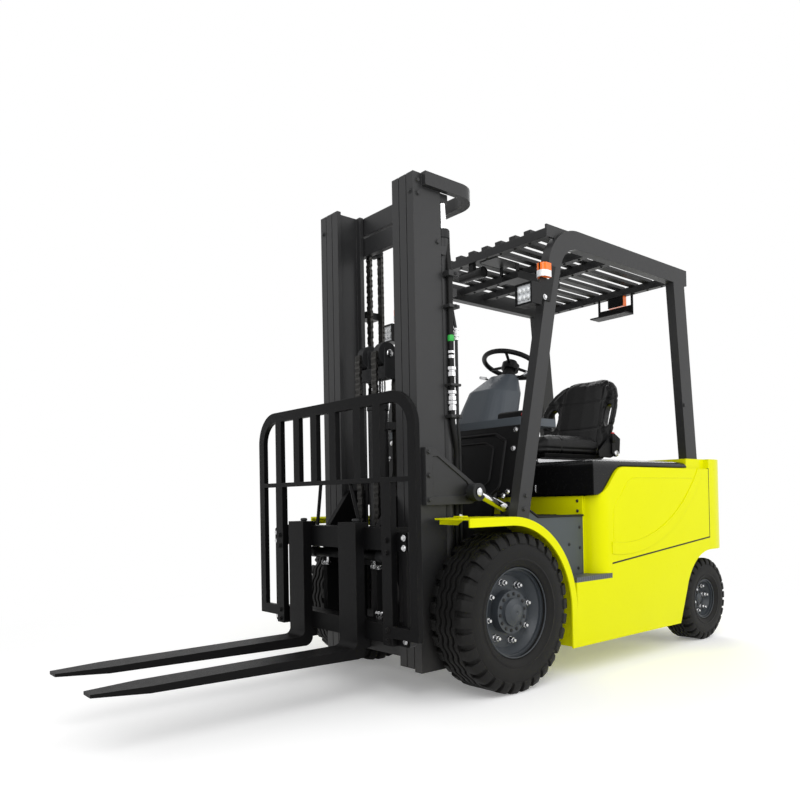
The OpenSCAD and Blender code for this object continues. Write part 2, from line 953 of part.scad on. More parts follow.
module guard_frame() {
    color("black") truck() {
        both_sides() across(guard_hw - leg_w, leg_w) guard_side();
        roof_cross(roof_front_x, guard_top_z - roof_bar_h);
        both_sides() across(guard_hw - leg_w / 2 - fin_t, fin_t)
            translate([roof_front_x - roof_bend_r, guard_top_z - roof_bar_h])
                square([roof_bend_r, roof_bar_h]);
        roof_cross(roof_back_x + roof_bar_w, guard_top_z - roof_bar_h);
        for (share = roof_bar_shares)
            roof_cross(roof_front_x + share * (roof_back_x - roof_front_x), guard_top_z - roof_bar_h);
    }
}

// A bar across the roof between its side rails
module roof_cross(x, z) {
    block([x - roof_bar_w, leg_w / 2 - guard_hw, z], [x, guard_hw - leg_w / 2, z + roof_bar_h - slat_t]);
}

// Front leg, side rail and rear leg of one side, in one bent outline
module guard_side() {
    bend_x = leg_x(guard_top_z - roof_bend_r);
    rear_top_z = guard_top_z - roof_rail_h / 2;
    difference() {
        polygon([
            [leg_x(fender_arc_z) + leg_d / 2, fender_arc_z],
            [bend_x + leg_d / 2, guard_top_z - roof_bend_r],
            [bend_x - leg_d / 2, guard_top_z - roof_bend_r],
            [leg_x(fender_arc_z) - leg_d / 2, fender_arc_z]
        ]);
        translate([fender_arc_x, fender_arc_z]) circle(fender_r + lay_gap);
    }
    translate([bend_x + leg_d / 2 - roof_bend_r, guard_top_z - roof_bend_r]) intersection() {
        difference() {
            circle(roof_bend_r);
            circle(roof_bend_r - roof_rail_h);
        }
        square(roof_bend_r);
    }
    translate([roof_back_x, guard_top_z - roof_rail_h])
        square([bend_x + leg_d / 2 - roof_bend_r - roof_back_x + over, roof_rail_h]);
    polygon([
        [rear_leg_x(weight_z) + rear_leg_d / 2, weight_z],
        [rear_leg_x(rear_top_z) + rear_leg_d / 2, rear_top_z],
        [rear_leg_x(rear_top_z) - rear_leg_d / 2, rear_top_z],
        [rear_leg_x(weight_z) - rear_leg_d / 2, weight_z]
    ]);
}

module guard_slats() {
    color("black") truck() for (i = [1 : slat_count])
        translate([roof_back_x, leg_w - guard_hw + i * slat_pitch - slat_w / 2, guard_top_z - slat_t])
            cube([roof_front_x - roof_back_x, slat_w, slat_t]);
}

module work_lamps() {
    color("silver") truck() both_sides() {
        lamp_x = leg_x(lamp_z) + leg_d / 2 + lamp_reach;
        lens_z = lamp_z + lamp_w + lens_gap;
        lens_x = leg_x(lens_z) + leg_d / 2 + run_gap;
        translate([lamp_x, guard_hw - leg_w / 2 - lamp_w / 2, lamp_z]) work_lamp();
        block([lens_x, guard_hw - lens_w / 2, lens_z],
              [lens_x + lens_w / 2, guard_hw + lens_w / 2, lens_z + lens_h]);
        translate([lens_x + lens_w / 2, guard_hw, lens_z]) cylinder(d = lens_w, h = lens_h);
        across(guard_hw, lamp_plate_t) polygon([
            [leg_x(lamp_z), lamp_z + lamp_w / 3],
            [lamp_x + over, lamp_z + lamp_w / 3],
            [lamp_x + over, lamp_z + lamp_w],
            [lens_x + over, lens_z + lens_h],
            [leg_x(lens_z + lens_h), lens_z + lens_h]
        ]);
    }
}

// A square lamp from its rear lower corner, with a bezel round its light sources
module work_lamp() {
    difference() {
        cube([lamp_d, lamp_w, lamp_w]);
        translate([lamp_d - lamp_bezel_d, lamp_bezel, lamp_bezel])
            cube([lamp_bezel_d + over, lamp_w - 2 * lamp_bezel, lamp_w - 2 * lamp_bezel]);
    }
    for (i = [1 : led_columns], j = [1 : led_rows])
        translate([lamp_d - lamp_bezel_d - over, i * lamp_w / (led_columns + 1), j * lamp_w / (led_rows + 1)])
            rotate([0, 90, 0]) cylinder(d = led_d, h = lamp_bezel_d);
}

// The rear lamp under the roof's last bar, and the tray that two straps hang in front of it
module rear_lamp() {
    color("darkorange") truck()
        translate([roof_back_x, rear_lamp_y - rear_lamp_w / 2, guard_top_z - roof_bar_h]) {
            block([0, rear_lamp_w * rear_lens_share, -rear_lamp_h],
                  [tray_x + over, rear_lamp_w * (1 - rear_lens_share), 0]);
            for (y = [0, rear_lamp_w - strap_w])
                block([tray_x, y, -tray_drop], [tray_x + tray_t, y + strap_w, 0]);
            block([tray_x, 0, -tray_drop], [tray_x + tray_t, rear_lamp_w, tray_h - tray_drop]);
            block([tray_x, 0, -tray_drop - tray_t], [tray_x + tray_l, rear_lamp_w, over - tray_drop]);
        }
}

module grab_handle() {
    color("black") truck() {
        y = leg_w / 2 - guard_hw;
        bar_x = rear_leg_x(handle_z + handle_h) + rear_leg_d / 2 + handle_out;
        for (z = [handle_z, handle_z + handle_h])
            let (x = rear_leg_x(z + handle_stub_d / 2) + rear_leg_d / 2)
                translate([x, y, z]) rotate([0, 90, 0]) cylinder(d = handle_stub_d, h = bar_x - x);
        translate([bar_x, y, handle_z - handle_d / 2]) cylinder(d = handle_d, h = handle_h + handle_d);
    }
}

// Wheels, drawn on the left side about their own axle at the origin

// Tyre of a left wheel: outer diameter d, width w, on a rim of diameter rim_d, with n lugs on each shoulder
module tyre(d, w, rim_d, n) {
    shoulder = w * lug_reach_share;
    notch = PI * d * lug_gap_share / n;
    difference() {
        rotate([-90, 0, 0]) rotate_extrude() tyre_profile(d, w, rim_d);
        for (i = [0 : n - 1], s = [-1, 1])
            rotate([0, 360 * (i + (s + 1) / 4) / n, 0])
                translate([-notch / 2, s > 0 ? w / 2 - shoulder : -w / 2 - over, d / 2 - lug_depth])
                    cube([notch, shoulder + over, lug_depth + over]);
    }
}

// Half the section of a tyre, its width along the second axis
module tyre_profile(d, w, rim_d) {
    r = d / 2;
    side = (r - rim_d / 2) / 4;
    polygon([
        [rim_d / 2, -w / 2 + side],
        [rim_d / 2 + side, -w / 2],
        [r - side, -w / 2],
        [r - lug_depth / 2, -w / 2 + lug_depth / 2],
        [r, -w / 2 + lug_depth],
        [r, w / 2 - lug_depth],
        [r - lug_depth / 2, w / 2 - lug_depth / 2],
        [r - side, w / 2],
        [rim_d / 2 + side, w / 2],
        [rim_d / 2, w / 2 - side]
    ]);
}

// Rim of a left wheel with a dished disc, a hub and its cap, bored from behind for its axle
module rim(d, w, hub_d, hub_l, bore_d) {
    disc_y = w * disc_share;
    rotate([-90, 0, 0]) difference() {
        rotate_extrude() rim_profile(d, w, hub_d, hub_l, disc_y);
        translate([0, 0, -w]) cylinder(d = bore_d, h = w + disc_y + disc_t);
    }
}

// Half the section of a rim, its axle along the second axis and the street side up
module rim_profile(d, w, hub_d, hub_l, disc_y) {
    edge_y = w / 2 - d * rim_edge_share;
    wall_r = d / 2 - rim_t;
    dish_r = wall_r - d * dish_share;
    cap_r = hub_d * cap_w_share / 2;
    hub_y = disc_y + hub_l;
    cap_y = hub_y + hub_d * cap_h_share;
    polygon([
        [0, cap_y],
        [cap_r * cap_w_share, cap_y],
        [cap_r, (hub_y + cap_y) / 2],
        [cap_r, hub_y],
        [hub_d / 2, hub_y],
        [hub_d / 2, disc_y + disc_t],
        [dish_r, disc_y + disc_t],
        [wall_r, edge_y - rim_t],
        [wall_r, edge_y],
        [d / 2, edge_y],
        [d / 2, -edge_y],
        [wall_r, -edge_y],
        [dish_r, disc_y],
        [hub_d / 2, disc_y],
        [hub_d / 2, disc_y + disc_t - hub_l],
        [0, disc_y + disc_t - hub_l]
    ]);
}

module front_wheel_place() {
    truck() translate([0, front_wheel_y, front_axle_z]) children();
}

module rear_wheel_place() {
    truck() translate([rear_axle_x, rear_wheel_y, rear_axle_z]) children();
}

module front_left_tyre() {
    color("dimgray") front_wheel_place() tyre(front_tyre_d, front_tyre_w, front_rim_d, front_lugs);
}

module front_left_rim() {
    color("slategray") front_wheel_place()
        rim(front_rim_d, front_tyre_w, front_hub_d, front_hub_l, axle_spindle_d + 2 * rod_clear);
}

module front_right_tyre() {
    mirror([0, 1, 0]) front_left_tyre();
}

module front_right_rim() {
    mirror([0, 1, 0]) front_left_rim();
}

module rear_left_tyre() {
    color("dimgray") rear_wheel_place() tyre(rear_tyre_d, rear_tyre_w, rear_rim_d, rear_lugs);
}

module rear_left_rim() {
    color("slategray") rear_wheel_place()
        rim(rear_rim_d, rear_tyre_w, front_hub_d / 2, front_hub_l / 2, spindle_d + 2 * rod_clear);
}

module rear_right_tyre() {
    mirror([0, 1, 0]) rear_left_tyre();
}

module rear_right_rim() {
    mirror([0, 1, 0]) rear_left_rim();
}

// Axles and steering

module drive_axle() {
    color("dimgray") truck() {
        in_y = front_wheel_y - front_tyre_w / 2 - run_gap;
        cross_bar(0, front_axle_z, -in_y, 2 * in_y, axle_tube_d);
        cross_bar(0, front_axle_z, -front_wheel_y, 2 * front_wheel_y, axle_spindle_d);
        both_sides() {
            block([0, cheek_y, pivot_z - cheek_r], [pivot_x, cheek_y + cheek_t, pivot_z + cheek_r]);
            cross_bar(pivot_x, pivot_z, cheek_y, cheek_t, 2 * cheek_r);
            cross_bar(pivot_x, pivot_z, cheek_y, mast_hw - cheek_y, pivot_pin_d);
        }
    }
}

module steer_axle() {
    color("dimgray") truck() translate([rear_axle_x, 0, rear_axle_z]) difference() {
        union() {
            end_y = kingpin_y - ear_r;
            block([-beam_d / 2, -end_y, -beam_h / 2], [beam_d / 2, end_y, beam_h / 2]);
            both_sides() {
                block([-beam_d / 2, end_y - beam_d, -knuckle_h / 2 - ear_h],
                      [beam_d / 2, end_y, knuckle_h / 2 + ear_h]);
                for (z = [-knuckle_h / 2 - ear_h, knuckle_h / 2]) {
                    translate([0, kingpin_y, z]) cylinder(r = ear_r, h = ear_h);
                    block([-ear_r, end_y - over, z], [ear_r, kingpin_y, z + ear_h]);
                }
            }
            both_sides() block(
                [beam_d / 2 - over, steer_barrel_l / 2 - saddle_l, 0],
                [steer_arm_l + steer_barrel_d / 4, steer_barrel_l / 2, steer_z - rear_axle_z]);
            block([beam_d / 2 - over, -steer_barrel_l / 2, -beam_h / 4],
                  [steer_arm_l + steer_barrel_d / 4, steer_barrel_l / 2, beam_h / 4]);
            cross_bar(steer_arm_l, steer_z - rear_axle_z, -steer_barrel_l / 2, steer_barrel_l,
                      steer_barrel_d);
        }
        both_sides() translate([0, kingpin_y, -knuckle_h])
            cylinder(d = kingpin_d + 2 * rod_clear, h = 2 * knuckle_h);
        both_sides() translate([0, kingpin_y, -knuckle_h / 2 - ear_gap])
            cylinder(d = knuckle_d + 2 * run_gap, h = knuckle_h + 2 * ear_gap);
        cross_bar(steer_arm_l, steer_z - rear_axle_z, -steer_barrel_l, 2 * steer_barrel_l,
                  steer_rod_d + 2 * rod_clear);
    }
}

module steer_rod() {
    color("silver") truck() {
        cross_bar(rear_axle_x + steer_arm_l, steer_z, -kingpin_y, 2 * kingpin_y, steer_rod_d);
        both_sides() translate([rear_axle_x + steer_arm_l, kingpin_y, steer_z - steer_rod_d / 2])
            cylinder(d = steer_eye_d, h = steer_rod_d);
    }
}

module knuckle_left() {
    color("dimgray") truck() translate([rear_axle_x, kingpin_y, rear_axle_z]) {
        translate([0, 0, -knuckle_h / 2 + ear_gap]) cylinder(d = knuckle_d, h = knuckle_h - 2 * ear_gap);
        translate([0, 0, -knuckle_h / 2 - ear_h])
            cylinder(d = kingpin_d, h = arm_z - rear_axle_z + knuckle_h / 2 + ear_h);
        cross_bar(0, 0, 0, rear_wheel_y - kingpin_y, spindle_d);
        translate([0, 0, arm_z - rear_axle_z]) {
            cylinder(d = steer_eye_d + kingpin_d / 4, h = steer_arm_t);
            block([0, -steer_eye_d / 2, 0], [steer_arm_l, steer_eye_d / 2, steer_arm_t]);
            translate([steer_arm_l, 0, 0]) cylinder(d = steer_eye_d, h = steer_arm_t);
        }
    }
}

module knuckle_right() {
    mirror([0, 1, 0]) knuckle_left();
}

// Mast

// Plan of a channel rail of the left side, its web at y_out and open to the middle
module channel_plan(y_out) {
    translate([rail_back_x, y_out - rail_web_t]) square([rail_depth, rail_web_t]);
    rail_flanges(y_out);
}

// Plan of an I-section rail of the left side
module beam_plan(y_out) {
    translate([rail_back_x, y_out - (rail_flange_w + rail_web_t) / 2]) square([rail_depth, rail_web_t]);
    rail_flanges(y_out);
}

module rail_flanges(y_out) {
    for (x = [rail_back_x, rail_front_x - rail_flange_t])
        translate([x, y_out - rail_flange_w]) square([rail_flange_t, rail_flange_w]);
}

// A tie behind the rails between two heights, reaching y out to both sides
module tie(y, z) {
    block([tie_back_x, -y, z], [tie_back_x + tie_t, y, z + tie_h]);
    both_sides() block([tie_back_x, y - rail_flange_w / 2, z], [rail_back_x + over, y, z + tie_h]);
}

module mast_outer_rails() {
    color("black") truck() {
        both_sides() {
            translate([0, 0, mast_foot_z]) linear_extrude(mast_top_z - mast_foot_z) channel_plan(mast_hw);
            difference() {
                union() {
                    cross_bar(pivot_x, pivot_z, hanger_y, mast_hw - hanger_y, 2 * hanger_r);
                    block([pivot_x, hanger_y, pivot_z - hanger_r],
                          [rail_back_x + over, mast_hw, pivot_z + hanger_r]);
                }
                cross_bar(pivot_x, pivot_z, hanger_y - over, mast_hw, pivot_pin_d + 2 * rod_clear);
            }
            block([lift_x - lift_barrel_d / 2, lift_y - lift_barrel_d / 2, lift_foot_z - lift_foot_t],
                  [rail_back_x - run_gap, mast_hw, lift_foot_z]);
            block([lift_x, outer_in_y, lift_foot_z - lift_foot_t],
                  [rail_back_x + over, mast_hw, lift_foot_z]);
        }
        tie(mast_hw, outer_tie_z);
        bow();
    }
}

// The head tie, bowed rearwards so that the inner stages can rise inside it
module bow() {
    hw = mast_hw + bow_w;
    translate([0, 0, mast_top_z + bow_over - bow_h]) linear_extrude(bow_h) difference() {
        translate([bow_back_x, -hw]) square([bow_front_x - bow_back_x, 2 * hw]);
        difference() {
            translate([bow_back_x + bow_t, -mast_hw]) square([rail_back_x - bow_back_x - bow_t, mast_w]);
            translate([bow_back_x + bow_t, -mast_hw]) corner_cut(bow_r - bow_w);
            translate([bow_back_x + bow_t, mast_hw]) mirror([0, 1]) corner_cut(bow_r - bow_w);
        }
        translate([rail_back_x - over, over - mast_hw]) square([bow_front_x, mast_w - 2 * over]);
        translate([bow_back_x, -hw]) corner_cut(bow_r);
        translate([bow_back_x, hw]) mirror([0, 1]) corner_cut(bow_r);
    }
}

module lift_barrels() {
    color("black") truck() both_sides() difference() {
        union() {
            translate([lift_x, lift_y, lift_foot_z])
                cylinder(d = lift_barrel_d, h = lift_top_z - lift_foot_z);
            block([lift_x, lift_y, lift_top_z - 3 * clamp_h],
                  [rail_back_x, lift_y + lift_barrel_d / 2, lift_top_z - 2 * clamp_h]);
            block([main_sheave_x - main_sheave_d / 2 - chain_t / 2, main_chain_y + chain_w / 2 + chain_gap,
                   anchor_z],
                  [lift_x, lift_y, anchor_z + anchor_h]);
        }
        translate([lift_x, lift_y, lift_foot_z + lift_foot_t])
            cylinder(d = lift_rod_d + 2 * rod_clear, h = lift_top_z);
    }
}

module mast_brackets() {
    color("black") truck() both_sides() {
        difference() {
            across(mast_hw + lay_gap, bracket_t) bracket_outline();
            across(mast_hw + lay_gap + bracket_t - pocket_d, pocket_d + over)
                translate([(tilt_pin_x + bracket_front_x) / 2, (bracket_z + bracket_top_z) / 2])
                    scale(pocket_share)
                        translate([-(tilt_pin_x + bracket_front_x) / 2, -(bracket_z + bracket_top_z) / 2])
                            bracket_outline();
        }
        cross_bar(tilt_pin_x, tilt_pin_z, mast_hw + bracket_t - 2 * pocket_d,
                  tilt_y + tilt_eye_w / 2 - mast_hw - bracket_t + 2 * pocket_d, tilt_pin_d);
    }
}

// A bracket from the side: an arm that narrows from the rail to a round boss at the tilt pin
module bracket_outline() {
    translate([tilt_pin_x, tilt_pin_z]) circle(bracket_r);
    polygon([
        [bracket_front_x, bracket_z],
        [bracket_front_x, bracket_top_z],
        [bracket_front_x - bracket_shelf, bracket_top_z],
        [tilt_pin_x + bracket_r * cos(bracket_lead), tilt_pin_z + bracket_r * sin(bracket_lead)],
        [tilt_pin_x, tilt_pin_z],
        [tilt_pin_x, tilt_pin_z - bracket_r]
    ]);
}

module mast_middle_rails() {
    color("black") truck() {
        y_mid = (middle_out_y + middle_in_y) / 2;
        both_sides() {
            translate([0, 0, inner_foot_z]) linear_extrude(mast_top_z - inner_foot_z) beam_plan(middle_out_y);
            cross_bar(rail_mid_x, middle_tie_z + roller_rise, y_mid,
                      outer_in_y + rail_flange_w / 2 - y_mid, roller_d);
            block([lift_x - lift_rod_d / 2, middle_in_y, lift_head_z],
                  [rail_back_x - run_gap, lift_y + lift_rod_d / 2, lift_head_z + lift_head_h]);
            block([lift_x, middle_in_y, lift_head_z],
                  [rail_back_x + over, middle_out_y, lift_head_z + lift_head_h]);
        }
        tie(middle_out_y - rail_flange_w / 2, middle_tie_z);
        tie(middle_out_y - rail_flange_w / 2, middle_head_z);
    }
}

module lift_rods() {
    color("silver") truck() both_sides()
        translate([lift_x, lift_y, lift_head_z - lift_rod_in]) cylinder(d = lift_rod_d, h = lift_rod_in);
}

module main_sheaves() {
    color("silver") truck() both_sides() {
        cross_bar(main_sheave_x, main_sheave_z, main_chain_y - sheave_w / 2, sheave_w, main_sheave_d);
        cross_bar(main_sheave_x, main_sheave_z, main_chain_y - sheave_w, 2 * sheave_w, main_sheave_d / 3);
        for (y = [main_chain_y - sheave_w, main_chain_y + sheave_w - cheek_plate_t])
            block([main_sheave_x - main_sheave_d / 4, y, main_sheave_z - main_sheave_d / 3],
                  [tie_back_x, y + cheek_plate_t, main_sheave_z + main_sheave_d / 3]);
        chain_run(main_sheave_x - main_sheave_d / 2, main_chain_y, main_sheave_z - main_back_l, main_back_l);
    }
}

// A straight run of leaf chain upwards from z, waisted between the pins of its links
module chain_run(x, y, z, l) {
    links = ceil(l / chain_pitch);
    step = l / links;
    waist = chain_t * chain_waist_share;
    edge = [
        for (i = [0 : links - 1])
            each [[chain_t, i * step], [chain_t, (i + 1 / 2) * step], [waist, (i + 3 / 4) * step]],
        [chain_t, l]
    ];
    far = len(edge) - 1;
    translate([x, 0, z]) across(y - chain_w / 2, chain_w) polygon(concat(
        [for (p = edge) [p[0] / 2, p[1]]],
        [for (i = [0 : far]) [-edge[far - i][0] / 2, edge[far - i][1]]]
    ));
}

module main_chains() {
    color("silver") truck() both_sides()
        chain_run(main_sheave_x + main_sheave_d / 2 + lay_gap + chain_t / 2, main_chain_y,
                  inner_tie_z + anchor_h, main_sheave_z - inner_tie_z - anchor_h);
}

module mast_inner_rails() {
    color("black") truck() {
        both_sides() {
            translate([0, 0, inner_foot_z])
                linear_extrude(mast_top_z - inner_foot_z) channel_plan(inner_out_y);
            cross_bar(rail_mid_x, inner_tie_z + roller_rise, inner_out_y - rail_web_t,
                      middle_in_y + (rail_flange_w - rail_web_t) / 2 - run_gap - inner_out_y + rail_web_t,
                      roller_d);
            block([main_sheave_x + main_sheave_d / 2, main_chain_y - chain_w / 2, inner_tie_z],
                  [tie_back_x + over, main_chain_y + chain_w / 2, inner_tie_z + anchor_h - slide_gap]);
        }
        tie(inner_out_y - rail_flange_w / 4, inner_tie_z);
        tie(inner_out_y - rail_flange_w / 4, inner_head_z);
        block([tie_back_x, -free_barrel_d / 2, inner_tie_z],
              [free_x + free_barrel_d / 2, free_barrel_d / 2, free_foot_z]);
    }
}

module free_lift_barrel() {
    color("black") truck() difference() {
        union() {
            translate([free_x, 0, free_foot_z]) cylinder(d = free_barrel_d, h = free_top_z - free_foot_z);
            block([free_x - sheave_d / 2 + chain_t / 2 + chain_gap, -free_chain_y - chain_w / 2, collar_z],
                  [free_x, free_chain_y + chain_w / 2, collar_z + anchor_h]);
        }
        translate([free_x, 0, free_foot_z + lift_foot_t])
            cylinder(d = free_rod_d + 2 * rod_clear, h = free_top_z);
    }
}

module free_lift_head() {
    color("silver") truck() {
        side_y = free_chain_y + sheave_w / 2 + chain_gap;
        translate([free_x, 0, free_sheave_z - head_h - free_rod_in])
            cylinder(d = free_rod_d, h = free_rod_in);
        block([free_x - head_h / 2, -side_y - cheek_plate_t, free_sheave_z - sheave_d / 2 - head_h],
              [free_x + head_h / 2, side_y + cheek_plate_t, free_sheave_z - sheave_d / 2 - chain_gap]);
        both_sides() {
            cross_bar(free_x, free_sheave_z, free_chain_y - sheave_w / 2, sheave_w, sheave_d);
            chain_run(free_x - sheave_d / 2, free_chain_y, free_sheave_z - free_back_l, free_back_l);
            for (y = [side_y, 2 * free_chain_y - side_y - cheek_plate_t])
                block([free_x - head_h / 2, y, free_sheave_z - sheave_d / 2 - head_h],
                      [free_x + head_h / 2, y + cheek_plate_t, free_sheave_z + sheave_d / 4]);
        }
        cross_bar(free_x, free_sheave_z, -side_y - cheek_plate_t, 2 * side_y + 2 * cheek_plate_t,
                  sheave_d / 3);
    }
}

module free_lift_chains() {
    color("silver") truck() both_sides()
        chain_run(free_x + sheave_d / 2 + lay_gap + chain_t / 2, free_chain_y, crossbar_z - head_h,
                  free_sheave_z - crossbar_z + head_h);
}

// Carriage, forks and backrest

module carriage_frame() {
    color("black") truck() {
        both_sides() {
            across(carriage_y, carriage_t) polygon([
                [rail_mid_x - roller_d / 3, carriage_z],
                [carriage_bar_x + over, carriage_z],
                [carriage_bar_x + over, upper_bar_z + bar_h],
                [carriage_bar_x - run_gap, upper_bar_z + bar_h],
                [rail_mid_x + roller_d / 2, carriage_z + carriage_h],
                [rail_mid_x - roller_d / 3, carriage_z + carriage_h]
            ]);
            for (z = [carriage_z + roller_d / 2, carriage_z + carriage_h - roller_d / 2])
                cross_bar(rail_mid_x, z, carriage_y + carriage_t - over,
                          inner_out_y - rail_web_t - run_gap - carriage_y - carriage_t + over, roller_d);
            for (s = [-1, 1])
                let (y = free_chain_y + s * (chain_w / 2 + chain_gap))
                    block([free_x + sheave_d / 2, y - chain_gap / 2, crossbar_z],
                          [crossbar_x + over, y + chain_gap / 2, crossbar_z + crossbar_h]);
        }
        for (z = [lower_bar_z, upper_bar_z])
            block([carriage_bar_x, -carriage_bar_hw, z],
                  [carriage_bar_x + bar_t, carriage_bar_hw, z + bar_h]);
        block([crossbar_x, -carriage_y - over, crossbar_z],
              [crossbar_x + bar_t, carriage_y + over, crossbar_z + crossbar_h]);
        cross_bar(carriage_bar_x + bar_t / 4, upper_bar_z - shift_barrel_drop, -shift_barrel_l / 2,
                  shift_barrel_l, shift_barrel_d);
    }
}

module shift_frame() {
    color("black") truck() {
        for (z = [lower_bar_z, upper_bar_z])
            block([shift_bar_x, -bar_w / 2, z], [shift_bar_x + bar_t, bar_w / 2, z + bar_h]);
        both_sides() block([shift_bar_x, bar_w / 2 - end_plate_t, lower_bar_z],
                           [shift_bar_x + bar_t, bar_w / 2, upper_bar_z + bar_h]);
        block([shift_bar_x, -carriage_bar_hw, upper_bar_z + bar_h - over],
              [shift_bar_x + bar_t, carriage_bar_hw, upper_bar_z + bar_h + slide_h]);
        block([carriage_bar_x, -carriage_bar_hw, upper_bar_z + bar_h + slide_gap],
              [shift_bar_x + over, carriage_bar_hw, upper_bar_z + bar_h + slide_h]);
    }
}

// The load backrest: a bent outer bar, a middle bar and upright bars above it
module backrest() {
    color("black") truck() {
        forward(back_bar_x, back_bar_t) difference() {
            backrest_outline(0);
            backrest_outline(back_frame_w);
        }
        block([back_bar_x, -backrest_hw, back_mid_z],
              [back_bar_x + back_bar_t, backrest_hw, back_mid_z + back_mid_h]);
        for (share = back_bar_shares)
            let (y = share * backrest_hw)
                block([back_bar_x, y - back_bar_w / 2, back_mid_z],
                      [back_bar_x + back_bar_t, y + back_bar_w / 2, backrest_top_z - over]);
        both_sides() {
            block([shift_bar_x + bar_t, back_post_y - back_post_w / 2, lower_bar_z],
                  [back_bar_x + back_bar_t, back_post_y + back_post_w / 2, back_mid_z + over]);
            block([back_bar_x, back_post_y, back_foot_z],
                  [back_bar_x + back_bar_t, backrest_hw, back_foot_z + back_frame_w]);
        }
    }
}

// Outline of the backrest, shrunk by d at its sides and top and open at the foot
module backrest_outline(d) {
    r = backrest_r - d;
    difference() {
        translate([-backrest_hw + d, back_foot_z - (d > 0 ? over : 0)])
            square([2 * backrest_hw - 2 * d, backrest_top_z - d - back_foot_z + (d > 0 ? over : 0)]);
        translate([-backrest_hw + d, backrest_top_z - d]) mirror([0, 1]) corner_cut(r);
        translate([backrest_hw - d, backrest_top_z - d]) rotate(180) corner_cut(r);
    }
}

// One fork with its middle at y
module fork(y) {
    back_fx = fork_face_x - fork_t;
    foot_z = fork_top_z - fork_t;
    intersection() {
        across(y - fork_w / 2, fork_w) difference() {
            union() {
                polygon([
                    [back_fx, foot_z],
                    [fork_face_x, foot_z],
                    [tip_x - fork_tip_l, foot_z + fork_t * fork_taper_share],
                    [tip_x, fork_top_z - fork_tip_t],
                    [tip_x, fork_top_z],
                    [fork_face_x, fork_top_z],
                    [fork_face_x, fork_top_z + fork_shank_h],
                    [back_fx, fork_top_z + fork_shank_h]
                ]);
                translate([fork_face_x, fork_top_z]) corner_cut(fork_fillet_r);
            }
            translate([back_fx, foot_z]) corner_cut(fork_heel_r);
        }
        translate([0, y, 0]) linear_extrude(backrest_top_z) polygon([
            [back_fx - over, -fork_w / 2],
            [tip_x - fork_tip_l, -fork_w / 2],
            [tip_x, -fork_w * fork_tip_w_share / 2],
            [tip_x, fork_w * fork_tip_w_share / 2],
            [tip_x - fork_tip_l, fork_w / 2],
            [back_fx - over, fork_w / 2]
        ]);
    }
    hook_z = upper_bar_z + bar_h + slide_h + hook_gap;
    block([back_fx - hook_t, y - fork_w / 2, hook_z],
          [back_fx + over, y + fork_w / 2, fork_top_z + fork_shank_h]);
    block([back_fx - hook_t, y - fork_w / 2, lower_bar_z - hook_gap - hook_h],
          [back_fx + over, y + fork_w / 2, lower_bar_z - hook_gap]);
}

module fork_left() {
    color("black") truck() fork(fork_left_y);
}

module fork_right() {
    color("black") truck() fork(fork_right_y);
}

// Tilt cylinders

// Places a shape on the left tilt cylinder's axis, its foot pin at the origin and its rod along X
module on_tilt() {
    truck() translate([tilt_foot_x, tilt_y, tilt_foot_z]) rotate([0, -tilt_angle, 0]) children();
}

module tilt_barrels() {
    color("black") both_sides() on_tilt() difference() {
        union() {
            cross_bar(0, 0, -tilt_eye_w / 2, tilt_eye_w, tilt_eye_d);
            rotate([0, 90, 0]) cylinder(d = tilt_barrel_d, h = tilt_barrel_l);
        }
        cross_bar(0, 0, -tilt_barrel_d, 2 * tilt_barrel_d, tilt_pin_d + 2 * rod_clear);
        translate([tilt_barrel_l - tilt_rod_in, 0, 0]) rotate([0, 90, 0])
            cylinder(d = tilt_rod_d + 2 * rod_clear, h = tilt_barrel_l);
    }
}

module tilt_rods() {
    color("silver") both_sides() on_tilt() difference() {
        union() {
            translate([tilt_barrel_l - tilt_rod_in + tilt_rod_d * 2, 0, 0]) rotate([0, 90, 0])
                cylinder(d = tilt_rod_d, h = tilt_l - tilt_barrel_l + tilt_rod_in - tilt_rod_d * 2);
            cross_bar(tilt_l, 0, -tilt_eye_w / 2, tilt_eye_w, tilt_eye_d);
        }
        cross_bar(tilt_l, 0, -tilt_eye_w, 2 * tilt_eye_w, tilt_pin_d + 2 * tilt_pin_clear);
    }
}

chassis_frame();
front_fenders();
side_panels();
counterweight();
battery_block();
floor_plate();
steps();
cowl_panel();
dash_cover();
steering_column();
drive_axle();
steer_axle();
steer_rod();
guard_frame();
guard_slats();
work_lamps();
rear_lamp();
grab_handle();
steering_wheel();
hood_deck();
seat_cushion();
seat_back();
front_left_tyre();
front_left_rim();
front_right_tyre();
front_right_rim();
rear_left_tyre();
rear_left_rim();
rear_right_tyre();
rear_right_rim();
knuckle_left();
knuckle_right();
mast_outer_rails();
lift_barrels();
mast_brackets();
mast_middle_rails();
lift_rods();
main_sheaves();
main_chains();
mast_inner_rails();
free_lift_barrel();
free_lift_head();
free_lift_chains();
carriage_frame();
shift_frame();
backrest();
fork_left();
fork_right();
tilt_barrels();
tilt_rods();
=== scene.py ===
import logging
import math
from collections.abc import Callable
from dataclasses import dataclass
from enum import Enum

import bmesh
import bpy
from mathutils import Matrix, Vector


